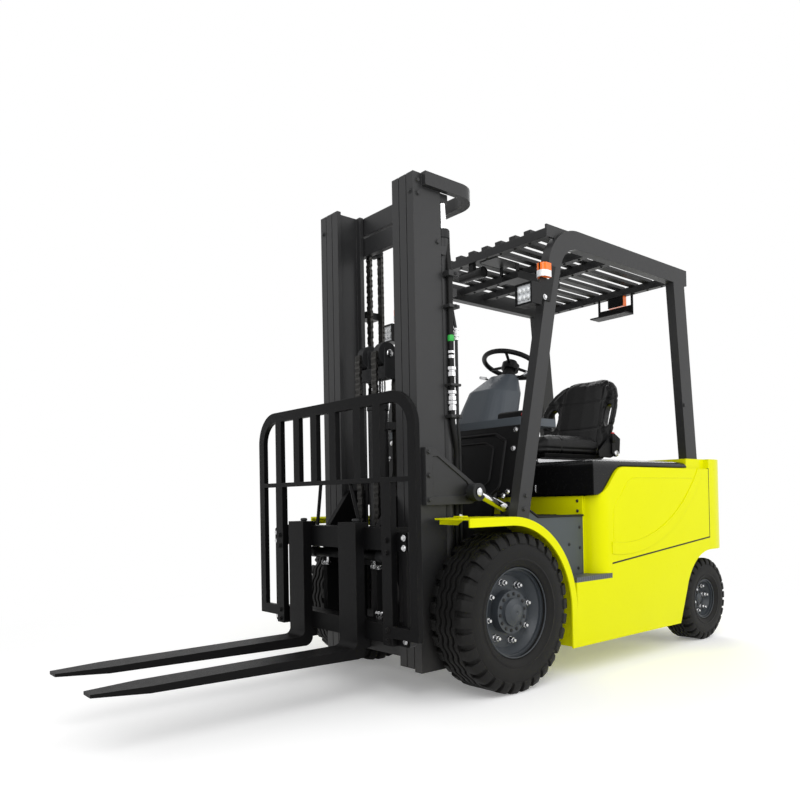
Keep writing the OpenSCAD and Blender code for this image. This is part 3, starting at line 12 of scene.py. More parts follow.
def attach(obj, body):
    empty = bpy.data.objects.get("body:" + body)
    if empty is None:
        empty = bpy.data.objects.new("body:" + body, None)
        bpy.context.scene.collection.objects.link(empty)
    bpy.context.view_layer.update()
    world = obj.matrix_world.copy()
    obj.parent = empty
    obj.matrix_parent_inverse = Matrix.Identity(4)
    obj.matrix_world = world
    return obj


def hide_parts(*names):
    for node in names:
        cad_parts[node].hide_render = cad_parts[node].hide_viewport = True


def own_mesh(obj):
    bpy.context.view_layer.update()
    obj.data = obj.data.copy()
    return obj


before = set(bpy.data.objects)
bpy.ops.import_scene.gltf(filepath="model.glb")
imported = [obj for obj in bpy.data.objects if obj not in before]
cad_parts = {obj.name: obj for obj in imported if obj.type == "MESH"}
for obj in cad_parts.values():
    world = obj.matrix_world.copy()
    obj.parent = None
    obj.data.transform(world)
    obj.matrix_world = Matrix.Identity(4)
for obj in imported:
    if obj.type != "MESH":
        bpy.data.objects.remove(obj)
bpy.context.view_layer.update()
LOG = logging.getLogger("fork_truck")
MM = 1000  # millimetres in a metre
AXLE_X = 163.0  # how far the front axle lies ahead of the origin, in millimetres
DECK = 1035.0  # the height of the hood's top
LEAN = 0.2266  # how far the cowl and the guard's front legs lean back for each unit of height
SIDES = (1, -1)  # the truck's left and right
NAMED_SIDES = (("left", 1), ("right", -1))
AHEAD, UP = (1, 0, 0), (0, 0, 1)
SHARP = math.radians(38)  # edges that turn by more than this are sharp
WHITE = (1, 1, 1)
DUST = (0.33, 0.30, 0.26)
COAT_ROUGH = 0.08
Colour = tuple[float, float, float]
Point = tuple[float, float, float]
Socket = bpy.types.NodeSocket
Run = tuple[list[Point], float, float]
Seam = Callable[[Vector], float]
Test = Callable[[float, float, float], bool]


def place(x: float, y: float, z: float) -> Vector:
    """Turns millimetres from the front axle into metres in the shared frame."""
    return Vector(((x + AXLE_X) / MM, y / MM, z / MM))


def circle(radius: float, count: int) -> list[tuple[float, float]]:
    """Even points on a circle about zero."""
    turns = [math.tau * i / count for i in range(count)]
    return [(radius * math.cos(a), radius * math.sin(a)) for a in turns]


def hoop(radius: float, height: float, count: int) -> list[Vector]:
    """A ring of points about the Z axis."""
    return [Vector((x, y, height)) for x, y in circle(radius, count)]


def full(value: float, power: float) -> float:
    """A sine or cosine raised to a power with its sign kept, which squares a ring off."""
    return math.copysign(abs(value) ** power, value)


def held(value: float) -> float:
    """A value held between 0 and 1."""
    return max(0.0, min(1.0, value))


def anywhere(x: float, y: float, z: float) -> bool:
    """A test that every face meets."""
    return True


def smooth_path(marks: list[Point], steps: int) -> list[Vector]:
    """A curve that passes through every mark.

    Args:
        marks: The points that it passes.
        steps: How many points it gets from one mark to the next.

    Returns:
        The points of the curve.
    """
    path, last = [], len(marks) - 1
    for i in range(last):
        a, b, c, d = (Vector(marks[max(0, min(last, i + k))]) for k in (-1, 0, 1, 2))
        for t in (j / steps for j in range(steps)):
            path.append(0.5 * (2 * b + (c - a) * t + (2 * a - 5 * b + 4 * c - d) * t * t
                               + (3 * b - a - 3 * c + d) * t ** 3))
    return path + [Vector(marks[-1])]


# Shader maths


class Wire:
    """A shader socket that takes part in plain arithmetic."""

    def __init__(self, graph: "Graph", socket: Socket) -> None:
        """Keeps the socket and the graph that new Math nodes go into."""
        self.graph = graph
        self.socket = socket

    def math(self, operation: str, *others: "Wire | float") -> "Wire":
        """Adds one Math node.

        Args:
            operation: Blender's name of the operation.
            others: The second and third operands.

        Returns:
            The node's result.
        """
        values = dict(enumerate((self, *others)))
        return self.graph.add("ShaderNodeMath", {"operation": operation}, values)

    def clamp(self) -> "Wire":
        """The value held between 0 and 1."""
        return self.graph.add("ShaderNodeClamp", {}, {"Value": self}, "Result")

    def __add__(self, other: "Wire | float") -> "Wire":
        """This value plus another."""
        return self.math("ADD", other)

    def __sub__(self, other: "Wire | float") -> "Wire":
        """This value less another."""
        return self.math("SUBTRACT", other)

    def __rsub__(self, other: float) -> "Wire":
        """A number less this value."""
        return (self * -1.0) + other

    def __mul__(self, other: "Wire | float") -> "Wire":
        """This value times another."""
        return self.math("MULTIPLY", other)

    def __pow__(self, other: float) -> "Wire":
        """This value raised to a power."""
        return self.math("POWER", other)

    __radd__, __rmul__ = __add__, __mul__


class Graph:
    """A material's node tree with its Principled shader."""

    def __init__(self, name: str) -> None:
        """Makes a new material.

        Args:
            name: The material's name.
        """
        self.material = bpy.data.materials.new(name)
        self.material.use_nodes = True
        self.tree = self.material.node_tree
        self.shader = self.tree.nodes["Principled BSDF"]

    def add(self, kind: str, settings: dict, values: dict, out: str | int = 0) -> Wire:
        """Adds any node: its settings first, then its sockets.

        Args:
            kind: Blender's type name of the node.
            settings: Attributes of the node; "stops" fills a colour ramp.
            values: Numbers or wires by socket name or index.
            out: The output that the caller wants.

        Returns:
            That output as a wire.
        """
        node = self.tree.nodes.new(kind)
        for key, value in settings.items():
            if key == "stops":
                self._fill_ramp(node.color_ramp, value)
            else:
                setattr(node, key, value)
        for key, value in values.items():
            self.feed(node.inputs[key], value)
        return Wire(self, node.outputs[out])

    def _fill_ramp(self, ramp: bpy.types.ColorRamp, stops: list[tuple[float, float]]) -> None:
        """Gives a ramp grey stops, each a place and a brightness."""
        while len(ramp.elements) < len(stops):
            ramp.elements.new(0.5)
        for element, (where, grey) in zip(ramp.elements, stops):
            element.position = where
            element.color = (grey, grey, grey, 1)

    def feed(self, socket: Socket, value: "Wire | float | tuple") -> None:
        """Links a wire to a socket or writes a constant on it."""
        if isinstance(value, Wire):
            self.tree.links.new(value.socket, socket)
        elif socket.type == "RGBA":
            socket.default_value = (*value[:3], 1)
        else:
            socket.default_value = value

    def blend(self, share: Wire, low: "Wire | Colour", high: "Wire | Colour") -> Wire:
        """Mixes two colours by a share."""
        return self.add("ShaderNodeMix", {"data_type": "RGBA"}, {0: share, 6: low, 7: high}, 2)

    def here(self) -> Wire:
        """The surface point in Object coordinates."""
        return self.add("ShaderNodeTexCoord", {}, {}, "Object")

    def height(self) -> Wire:
        """The height of the surface point in metres."""
        return self.add("ShaderNodeSeparateXYZ", {}, {0: self.here()}, 2)

    def noise(self, scale: float, detail: float = 3.0, rough: float = 0.55) -> Wire:
        """A cloudy value around one half.

        Args:
            scale: Clouds to the metre.
            detail: Octaves.
            rough: Share of the finer octaves.

        Returns:
            The value.
        """
        return self.add("ShaderNodeTexNoise", {}, {
            "Vector": self.here(), "Scale": scale, "Detail": detail, "Roughness": rough})

    def ramp(self, value: Wire, stops: list[tuple[float, float]]) -> Wire:
        """Bends a value through a grey ramp."""
        return self.add("ShaderNodeValToRGB", {"stops": stops}, {0: value})

    def rounded(self, radius: float) -> Wire:
        """The normal of the surface with its edges rounded by a radius in metres."""
        return self.add("ShaderNodeBevel", {"samples": 4}, {"Radius": radius})

    def edges(self, radius: float, gain: float = 6.0) -> Wire:
        """A mask of the edges.

        Args:
            radius: How far from an edge the mask reaches, in metres.
            gain: How fast it rises to 1.

        Returns:
            The mask.
        """
        true = self.add("ShaderNodeNewGeometry", {}, {}, "True Normal")
        dot = self.add("ShaderNodeVectorMath", {"operation": "DOT_PRODUCT"},
                       {0: self.rounded(radius), 1: true}, "Value")
        return ((1.0 - dot) * gain).clamp()

    def bump(self, height: Wire, depth: float, normal: Wire) -> Wire:
        """A normal bent by a height map of a depth in metres."""
        return self.add("ShaderNodeBump", {}, {
            "Strength": 1.0, "Distance": depth, "Height": height, "Normal": normal})


class Grain(Enum):
    """The small relief of a surface."""

    SMOOTH = "smooth"
    ORANGE_PEEL = "orange peel"
    MOULDED = "moulded"
    CAST = "cast"
    BRUSHED = "brushed"
    TREAD_PLATE = "tread plate"
    LEATHER = "leather"


@dataclass(frozen=True)
class Finish:
    """One finish of the truck, with wear on its edges and dust low down.

    Attributes:
        name: The material's name.
        colour: Its linear colour.
        rough: Its roughness.
        metal: How metallic it is.
        coat: The weight of its clear coat.
        grain: Its small relief.
        mottle: How far its colour wanders to each side.
        round: The radius of its edges in metres.
        worn: The linear colour of worn edges.
        wear: How much of the edges is worn.
        dust: How much dust lies on it near the ground.
        glow: The strength of its own light.
        shine: The level of its reflection.
    """

    name: str
    colour: Colour
    rough: float
    metal: float = 0.0
    coat: float = 0.0
    grain: Grain = Grain.SMOOTH
    mottle: float = 0.10
    round: float = 0.003
    worn: Colour = (0.30, 0.30, 0.30)
    wear: float = 0.0
    dust: float = 0.10
    glow: float = 0.0
    shine: float = 0.5

    def build(self) -> bpy.types.Material:
        """Makes the material.

        Returns:
            The finished node material.
        """
        g = Graph(self.name)
        cloud = g.noise(2.7, 4)
        fine = g.noise(45, 5, 0.65)
        dark = tuple(c * (1 - self.mottle) for c in self.colour)
        light = tuple(min(1.0, c * (1 + self.mottle)) for c in self.colour)
        tone = g.blend((cloud * 0.7 + fine * 0.3).clamp(), dark, light)
        if self.wear > 0:
            scuff = g.ramp(g.noise(22, 6, 0.7), [(0.42, 0.0), (0.62, 1.0)])
            tone = g.blend((g.edges(self.round) * scuff * self.wear).clamp(), tone, self.worn)
        low = g.ramp(g.height(), [(0.0, 1.0), (0.55, 0.0)])
        film = (low * g.ramp(g.noise(7, 6, 0.7), [(0.35, 0.2), (0.75, 1.0)]) * self.dust).clamp()
        tone = g.blend(film, tone, DUST)
        g.feed(g.shader.inputs["Base Color"], tone)
        g.feed(g.shader.inputs["Roughness"], (fine * 0.16 + film * 0.5 + (self.rough - 0.08)).clamp())
        for socket, value in (("Metallic", self.metal), ("Specular IOR Level", self.shine),
                              ("Coat Weight", self.coat), ("Coat Roughness", COAT_ROUGH)):
            g.shader.inputs[socket].default_value = value
        if self.glow > 0:
            g.shader.inputs["Emission Color"].default_value = (*self.colour, 1)
            g.shader.inputs["Emission Strength"].default_value = self.glow
        g.feed(g.shader.inputs["Normal"], self._relief(g))
        return g.material

    def _relief(self, g: Graph) -> Wire:
        """The finish's own relief laid on the rounded edges.

        Args:
            g: The graph to add to.

        Returns:
            The normal.
        """
        normal = g.rounded(self.round)
        clouds = {Grain.ORANGE_PEEL: ((260, 2), 0.0002), Grain.MOULDED: ((900, 3, 0.7), 0.0003),
                  Grain.CAST: ((180, 5, 0.7), 0.0010)}
        if self.grain in clouds:
            cloud, depth = clouds[self.grain]
            return g.bump(g.noise(*cloud), depth, normal)
        if self.grain is Grain.LEATHER:
            cells = g.add("ShaderNodeTexVoronoi", {"feature": "DISTANCE_TO_EDGE"},
                          {"Vector": g.here(), "Scale": 420})
            return g.bump(cells, 0.0006, normal)
        if self.grain is Grain.BRUSHED:
            drawn = g.add("ShaderNodeMapping", {}, {"Vector": g.here(), "Scale": (400, 400, 12)})
            lines = g.add("ShaderNodeTexNoise", {}, {"Vector": drawn, "Scale": 1.0, "Detail": 2.0})
            return g.bump(lines, 0.0001, normal)
        if self.grain is Grain.TREAD_PLATE:
            return g.bump(self._studs(g), 0.0016, normal)
        return normal

    def _studs(self, g: Graph) -> Wire:
        """Raised lozenges that lie two ways in turn, as on chequer plate.

        Args:
            g: The graph to add to.

        Returns:
            Their height.
        """
        to_the_metre, short, slender = 28.0, 2.2, 7.0
        flat = g.add("ShaderNodeSeparateXYZ", {}, {0: g.here()}, 0)
        side = g.add("ShaderNodeSeparateXYZ", {}, {0: g.here()}, 1)
        one, two = (flat + side) * to_the_metre, (flat - side) * to_the_metre
        total = None
        for a, b, shift in ((one, two, 0.0), (two, one, 0.5)):
            along = (a + shift).math("FRACT") - 0.5
            over = (b + shift).math("FRACT") - 0.5
            stud = (1.0 - (along * short) ** 2.0 - (over * slender) ** 2.0).clamp()
            total = stud if total is None else total.math("MAXIMUM", stud)
        return total


class Coat(Enum):
    """Every finish on the truck, with the record's slot that it belongs to."""

    YELLOW = ("yellow", Finish(
        "neon_paint", (0.79, 0.80, 0.001), 0.30, coat=0.06, grain=Grain.ORANGE_PEEL, mottle=0.04,
        worn=(0.45, 0.44, 0.05), wear=0.12, dust=0.02, shine=0.05))
    MAST = ("mast_black", Finish(
        "mast_paint", (0.020, 0.0202, 0.021), 0.44, grain=Grain.ORANGE_PEEL, mottle=0.22,
        worn=(0.10, 0.10, 0.10), wear=0.35, shine=0.32))
    FORK = ("fork_black", Finish(
        "fork_paint", (0.0034, 0.0034, 0.0037), 0.46, grain=Grain.CAST, mottle=0.30,
        worn=(0.10, 0.097, 0.09), wear=0.35, dust=0.012, shine=0.08))
    FRAME = ("frame_grey", Finish(
        "guard_paint", (0.027, 0.0272, 0.028), 0.42, grain=Grain.ORANGE_PEEL, mottle=0.18,
        worn=(0.16, 0.16, 0.16), wear=0.2, shine=0.25))
    SLATE = ("slate", Finish(
        "slate_paint", (0.058, 0.070, 0.080), 0.42, grain=Grain.ORANGE_PEEL, mottle=0.15,
        worn=(0.25, 0.25, 0.25), wear=0.25, dust=0.12, shine=0.3))
    TREAD = ("slate", Finish(
        "tread_plate", (0.075, 0.085, 0.095), 0.45, grain=Grain.TREAD_PLATE, mottle=0.2,
        worn=(0.35, 0.35, 0.35), wear=0.5, dust=0.3, shine=0.4))
    PLASTIC = ("plastic_black", Finish(
        "black_plastic", (0.0050, 0.0050, 0.0054), 0.40, grain=Grain.MOULDED, mottle=0.18, shine=0.16))
    GLOSS = ("plastic_black", Finish(
        "hood_plastic", (0.0060, 0.0060, 0.0064), 0.26, coat=0.10, grain=Grain.ORANGE_PEEL, mottle=0.15,
        round=0.010, shine=0.12))
    DASH = ("plastic_slate", Finish(
        "slate_plastic", (0.064, 0.075, 0.088), 0.45, grain=Grain.MOULDED, mottle=0.1, round=0.006,
        shine=0.3))
    SEAT = ("seat_black", Finish(
        "seat_cover", (0.0036, 0.0036, 0.0038), 0.34, grain=Grain.LEATHER, mottle=0.2, dust=0.006,
        shine=0.19))
    TYRE = ("tyre", Finish(
        "tyre_rubber", (0.0068, 0.0067, 0.0066), 0.58, grain=Grain.CAST, mottle=0.25, dust=0.028,
        round=0.002, shine=0.16))
    RIM = ("slate", Finish(
        "rim_paint", (0.038, 0.045, 0.053), 0.36, grain=Grain.ORANGE_PEEL, mottle=0.12,
        worn=(0.2, 0.2, 0.2), wear=0.2, dust=0.08, shine=0.32))
    STEEL = ("steel", Finish(
        "plated_steel", (0.62, 0.62, 0.63), 0.26, metal=1.0, grain=Grain.BRUSHED, mottle=0.12,
        round=0.0012))
    CHROME = ("chrome", Finish("chromed_rod", (0.78, 0.78, 0.79), 0.12, metal=1.0, mottle=0.05))
    CHAIN = ("chain", Finish(
        "chain_steel", (0.060, 0.058, 0.055), 0.40, metal=0.85, mottle=0.3, round=0.0008, dust=0.03,
        shine=0.3))
    IRON = ("iron", Finish(
        "cast_iron", (0.018, 0.0185, 0.0195), 0.52, grain=Grain.CAST, mottle=0.3, wear=0.2, shine=0.2))
    LAMP = ("lamp", Finish("lamp_lens", (0.80, 0.82, 0.84), 0.10, coat=0.8, mottle=0.05))
    AMBER = ("amber", Finish(
        "amber_lens", (0.90, 0.16, 0.005), 0.16, coat=0.3, mottle=0.06, glow=0.12, shine=0.3))
    RUBBER = ("plastic_black", Finish(
        "hose_rubber", (0.0075, 0.0075, 0.0075), 0.52, grain=Grain.MOULDED, mottle=0.2, shine=0.2))
    RED = ("amber", Finish("red_button", (0.60, 0.015, 0.015), 0.35, mottle=0.06, shine=0.3))
    GREEN = ("plastic_black", Finish(
        "green_sleeve", (0.03, 0.42, 0.06), 0.45, grain=Grain.MOULDED, mottle=0.06))

    @property
    def slot(self) -> str:
        """The record's slot of this finish."""
        return self.value[0]

    @property
    def material(self) -> bpy.types.Material:
        """The material, made when it is first asked for."""
        made = bpy.data.materials.get(self.value[1].name)
        return made if made else self.value[1].build()


# Meshes


class Form:
    """A mesh in the making, laid out in millimetres from the front axle."""

    def __init__(self) -> None:
        """Starts with no faces."""
        self.mesh = bmesh.new()

    def face_loop(self, rings: list[list[Vector]], closed: bool = True, caps: bool = True) -> "Form":
        """Skins a row of rings of equal length.

        Args:
            rings: Points of each ring, in metres.
            closed: Whether each ring closes on itself.
            caps: Whether the first and last ring are filled.

        Returns:
            This form.
        """
        rows = [[self.mesh.verts.new(p) for p in ring] for ring in rings]
        count = len(rows[0])
        for a, b in zip(rows, rows[1:]):
            for i in range(count if closed else count - 1):
                j = (i + 1) % count
                self.mesh.faces.new((a[i], a[j], b[j], b[i]))
        if caps:
            self.mesh.faces.new(rows[0])
            self.mesh.faces.new(rows[-1])
        return self

    def box(self, low: Point, high: Point) -> "Form":
        """Adds a block.

        Args:
            low: Its corner with the least of each coordinate.
            high: The opposite corner.

        Returns:
            This form.
        """
        (x0, y0, z0), (x1, y1, z1) = low, high
        rings = [[place(x0, y0, z), place(x1, y0, z), place(x1, y1, z), place(x0, y1, z)] for z in (z0, z1)]
        return self.face_loop(rings)

    def prism(self, outline: list[tuple[float, float]], start: float, end: float, axis: str = "y") -> "Form":
        """Adds a flat outline with a thickness.

        Args:
            outline: Corners in X and Z, or Y and Z where the axis is x, or X and Y where it is z.
            start: Where the thickness starts on the axis.
            end: Where it ends.
            axis: The axis of the thickness.

        Returns:
            This form.
        """
        put = {"y": lambda u, v, t: place(u, t, v), "x": lambda u, v, t: place(t, u, v),
               "z": lambda u, v, t: place(u, v, t)}[axis]
        return self.face_loop([[put(u, v, t) for u, v in outline] for t in (start, end)])

    def lathe(self, profile: list[tuple[float, float]], centre: Point, axis: Point,
              steps: int = 48, closed: bool = False) -> "Form":
        """Turns a profile about an axis.

        Args:
            profile: Pairs of radius and distance along the axis.
            centre: The axis's origin.
            axis: The axis's direction.
            steps: Faces around.
            closed: Whether the profile is a closed loop.

        Returns:
            This form.
        """
        turn = Vector(axis).to_track_quat("Z", "Y").to_matrix()
        middle = place(*centre)
        rings = [[middle + turn @ (p / MM) for p in hoop(radius, along, steps)] for radius, along in profile]
        if closed:
            rings.append(rings[0])
        self.face_loop(rings, caps=not closed)
        if closed:
            bmesh.ops.remove_doubles(self.mesh, verts=self.mesh.verts, dist=1e-6)
        return self

    def loft(self, sections: list[list[Point]]) -> "Form":
        """Skins rows of points given in millimetres, with both ends filled."""
        return self.face_loop([[place(*p) for p in row] for row in sections])

    def join(self, mesh: bpy.types.Mesh, turn: Matrix | None = None) -> "Form":
        """Adds a finished mesh.

        Args:
            mesh: The mesh, in the shared frame.
            turn: A matrix that moves it first.

        Returns:
            This form.
        """
        if turn is not None:
            mesh.transform(turn)
        self.mesh.from_mesh(mesh)
        return self

    def template(self, name: str) -> bpy.types.Object:
        """Gives the shape to Geometry Nodes as an object that isn't shown.

        Args:
            name: The object's name.

        Returns:
            The object.
        """
        kept = bpy.data.objects.new(name, self._mesh(name))
        kept.hide_render = True
        return kept

    def shape(self, name: str) -> bpy.types.Object:
        """Gives the shape to modifiers as an object of its own.

        Args:
            name: The object's name.

        Returns:
            The object.
        """
        kept = bpy.data.objects.new(name, self._mesh(name))
        bpy.context.scene.collection.objects.link(kept)
        kept.hide_render = True
        return kept

    def _mesh(self, name: str, tidy: bool = True) -> bpy.types.Mesh:
        """Writes the shape to a mesh, with its edges sharp where they turn.

        Args:
            name: The mesh's name.
            tidy: Whether the faces are turned outwards first.

        Returns:
            The mesh.
        """
        if tidy:
            bmesh.ops.recalc_face_normals(self.mesh, faces=self.mesh.faces)
        mesh = bpy.data.meshes.new(name)
        self.mesh.to_mesh(mesh)
        self.mesh.free()
        mesh.shade_smooth()
        mesh.set_sharp_from_angle(angle=SHARP)
        return mesh

    def piece(self, name: str, body: str, coat: Coat, bevel: float = 0.0, smooth: int = 0,
              stands_for: tuple[str, ...] = (), tidy: bool = True) -> bpy.types.Object:
        """Finishes the shape as a shown piece.

        Args:
            name: The piece's name.
            body: The CAD body that it rides on.
            coat: Its finish.
            bevel: Radius of its edges in millimetres.
            smooth: Levels of subdivision.
            stands_for: CAD nodes that it replaces.
            tidy: Whether the faces are turned outwards first.

        Returns:
            The object.
        """
        piece = bpy.data.objects.new(name, self._mesh(name, tidy))
        bpy.context.scene.collection.objects.link(piece)
        if not piece.data.materials:
            piece.data.materials.append(coat.material)
        if bevel > 0:
            edge = piece.modifiers.new("edges", "BEVEL")
            edge.width, edge.segments, edge.limit_method = bevel / MM, 2, "ANGLE"
            edge.angle_limit = SHARP
            edge.harden_normals = True
        if smooth > 0:
            soft = piece.modifiers.new("smooth", "SUBSURF")
            soft.levels = soft.render_levels = smooth
        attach(piece, body)
        if stands_for:
            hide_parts(*stands_for)
        LOG.info("%s rides on %s", name, body)
        return piece


# Geometry Nodes


class Pattern:
    """A Geometry Nodes tree that repeats a template or sweeps a path."""

    inputs: dict[str, str] = {}

    def __init__(self, name: str) -> None:
        """Builds the tree with its named inputs.

        Args:
            name: The tree's name.
        """
        self.tree = bpy.data.node_groups.new(name, "GeometryNodeTree")
        face = self.tree.interface
        face.new_socket("Geometry", in_out="INPUT", socket_type="NodeSocketGeometry")
        for label, kind in self.inputs.items():
            face.new_socket(label, in_out="INPUT", socket_type=kind)
        face.new_socket("Geometry", in_out="OUTPUT", socket_type="NodeSocketGeometry")
        self.given = self.tree.nodes.new("NodeGroupInput").outputs
        out = self.tree.nodes.new("NodeGroupOutput")
        real = self.add("GeometryNodeRealizeInstances", {}, {0: self.build()})
        dressed = self.add("GeometryNodeSetMaterial", {}, {0: real, "Material": self.given["Finish"]})
        self.tree.links.new(dressed, out.inputs[0])

    def build(self) -> Socket:
        """Makes the pattern's own geometry; each kind has its own."""
        raise NotImplementedError

    def add(self, kind: str, settings: dict, values: dict, out: int | str = 0) -> Socket:
        """Adds a node: its settings first, then its sockets.

        Args:
            kind: Blender's type name of the node.
            settings: Attributes of the node.
            values: Numbers or sockets by socket name or index.
            out: The output that the caller wants.

        Returns:
            That output.
        """
        node = self.tree.nodes.new(kind)
        for key, value in settings.items():
            setattr(node, key, value)
        for key, value in values.items():
            if isinstance(value, Socket):
                self.tree.links.new(value, node.inputs[key])
            else:
                node.inputs[key].default_value = value
        return node.outputs[out]

    def sum(self, operation: str, a: object, b: object) -> Socket:
        """One Math node on two numbers or sockets."""
        return self.add("ShaderNodeMath", {"operation": operation}, {0: a, 1: b})

    def copies(self, points: Socket, turn: Socket | None) -> Socket:
        """Sets the template on points.

        Args:
            points: The points.
            turn: The angles of each copy, where they are turned.

        Returns:
            The copies.
        """
        shape = self.add("GeometryNodeObjectInfo", {}, {0: self.given["Template"]}, "Geometry")
        values = {"Points": points, "Instance": shape}
        if turn is not None:
            values["Rotation"] = turn
        return self.add("GeometryNodeInstanceOnPoints", {}, values)

    def grow(self, coat: Coat, host: bpy.types.Mesh | None = None, **values: object) -> bpy.types.Mesh:
        """Runs the tree and keeps its result as a plain mesh.

        Args:
            coat: The finish of the result.
            host: The points or path that the tree starts from.
            values: The tree's inputs by name, with spaces as underscores.

        Returns:
            The mesh.
        """
        host_object = bpy.data.objects.new("pattern", host or bpy.data.meshes.new("empty"))
        bpy.context.scene.collection.objects.link(host_object)
        grown = host_object.modifiers.new("pattern", "NODES")
        grown.node_group = self.tree
        ids = {s.name: s.identifier for s in self.tree.interface.items_tree if s.in_out == "INPUT"}
        grown[ids["Finish"]] = coat.material
        for key, value in values.items():
            grown[ids[key.replace("_", " ")]] = value
        host_object.update_tag()
        graph = bpy.context.evaluated_depsgraph_get()
        mesh = bpy.data.meshes.new_from_object(host_object.evaluated_get(graph), depsgraph=graph)
        host_object.modifiers.clear()
        bpy.data.objects.remove(host_object)
        return mesh


class Ring(Pattern):
    """Copies of a template around the Z axis, each turned with its place."""

    inputs = {"Template": "NodeSocketObject", "Finish": "NodeSocketMaterial", "Count": "NodeSocketInt",
              "Radius": "NodeSocketFloat", "Phase": "NodeSocketFloat"}

    def build(self) -> Socket:
        """Points on a circle, and the template on each.

        Returns:
            The copies.
        """
        index = self.add("GeometryNodeInputIndex", {}, {})
        step = self.sum("DIVIDE", math.tau, self.given["Count"])
        angle = self.sum("ADD", self.sum("MULTIPLY", index, step), self.given["Phase"])
        flat = [self.sum("MULTIPLY", self.sum(f, angle, 0.0), self.given["Radius"])
                for f in ("COSINE", "SINE")]
        spot = self.add("ShaderNodeCombineXYZ", {}, {0: flat[0], 1: flat[1]})
        points = self.add("GeometryNodePoints", {}, {"Count": self.given["Count"], "Position": spot})
        return self.copies(points, self.add("ShaderNodeCombineXYZ", {}, {2: angle}))


class Row(Pattern):
    """Copies of a template in a straight row."""

    inputs = {"Template": "NodeSocketObject", "Finish": "NodeSocketMaterial", "Count": "NodeSocketInt",
              "Start": "NodeSocketVector", "Step": "NodeSocketVector"}

    def build(self) -> Socket:
        """Points along the step, and the template on each.

        Returns:
            The copies.
        """
        index = self.add("GeometryNodeInputIndex", {}, {})
        run = self.add("ShaderNodeVectorMath", {"operation": "SCALE"},
                       {0: self.given["Step"], "Scale": index})
        spot = self.add("ShaderNodeVectorMath", {"operation": "ADD"}, {0: run, 1: self.given["Start"]})
        points = self.add("GeometryNodePoints", {}, {"Count": self.given["Count"], "Position": spot})
        return self.copies(points, None)


class Scatter(Pattern):
    """A template on each point of a host mesh, turned by the host's own angles."""

    inputs = {"Template": "NodeSocketObject", "Finish": "NodeSocketMaterial", "Spread": "NodeSocketFloat",
              "Seed": "NodeSocketInt"}

    def build(self) -> Socket:
        """Turns each copy to its point's angles after a small turn about its own axis.

        Returns:
            The copies.
        """
        turn = self.add("GeometryNodeInputNamedAttribute", {"data_type": "FLOAT_VECTOR"}, {"Name": "turn"})
        low = self.sum("MULTIPLY", self.given["Spread"], -1.0)
        chance = self.add("FunctionNodeRandomValue", {"data_type": "FLOAT"},
                          {2: low, 3: self.given["Spread"], "Seed": self.given["Seed"]}, 1)
        own = self.add("ShaderNodeCombineXYZ", {}, {2: chance})
        both = self.add("FunctionNodeRotateRotation", {"rotation_space": "LOCAL"}, {0: turn, 1: own})
        points = self.add("GeometryNodeMeshToPoints", {}, {0: self.given["Geometry"]})
        return self.copies(points, both)


class Sweep(Pattern):
    """A round tube along a path, with its corners bent to a radius."""

    inputs = {"Finish": "NodeSocketMaterial", "Radius": "NodeSocketFloat", "Bend": "NodeSocketFloat"}

    def build(self) -> Socket:
        """Bends the host's path and gives it a round section.

        Returns:
            The tube.
        """
        path = self.add("GeometryNodeMeshToCurve", {}, {0: self.given["Geometry"]})
        bent = self.add("GeometryNodeFilletCurve", {"mode": "POLY"},
                        {0: path, "Count": 7, "Radius": self.given["Bend"], "Limit Radius": True})
        ring = self.add("GeometryNodeCurvePrimitiveCircle", {},
                        {"Resolution": 14, "Radius": self.given["Radius"]})
        return self.add("GeometryNodeCurveToMesh", {}, {0: bent, 1: ring, "Fill Caps": True})


@dataclass(frozen=True)
class Fixing:
    """A place for a bolt: its point in millimetres and the way its head faces."""

    at: Point
    faces: Point


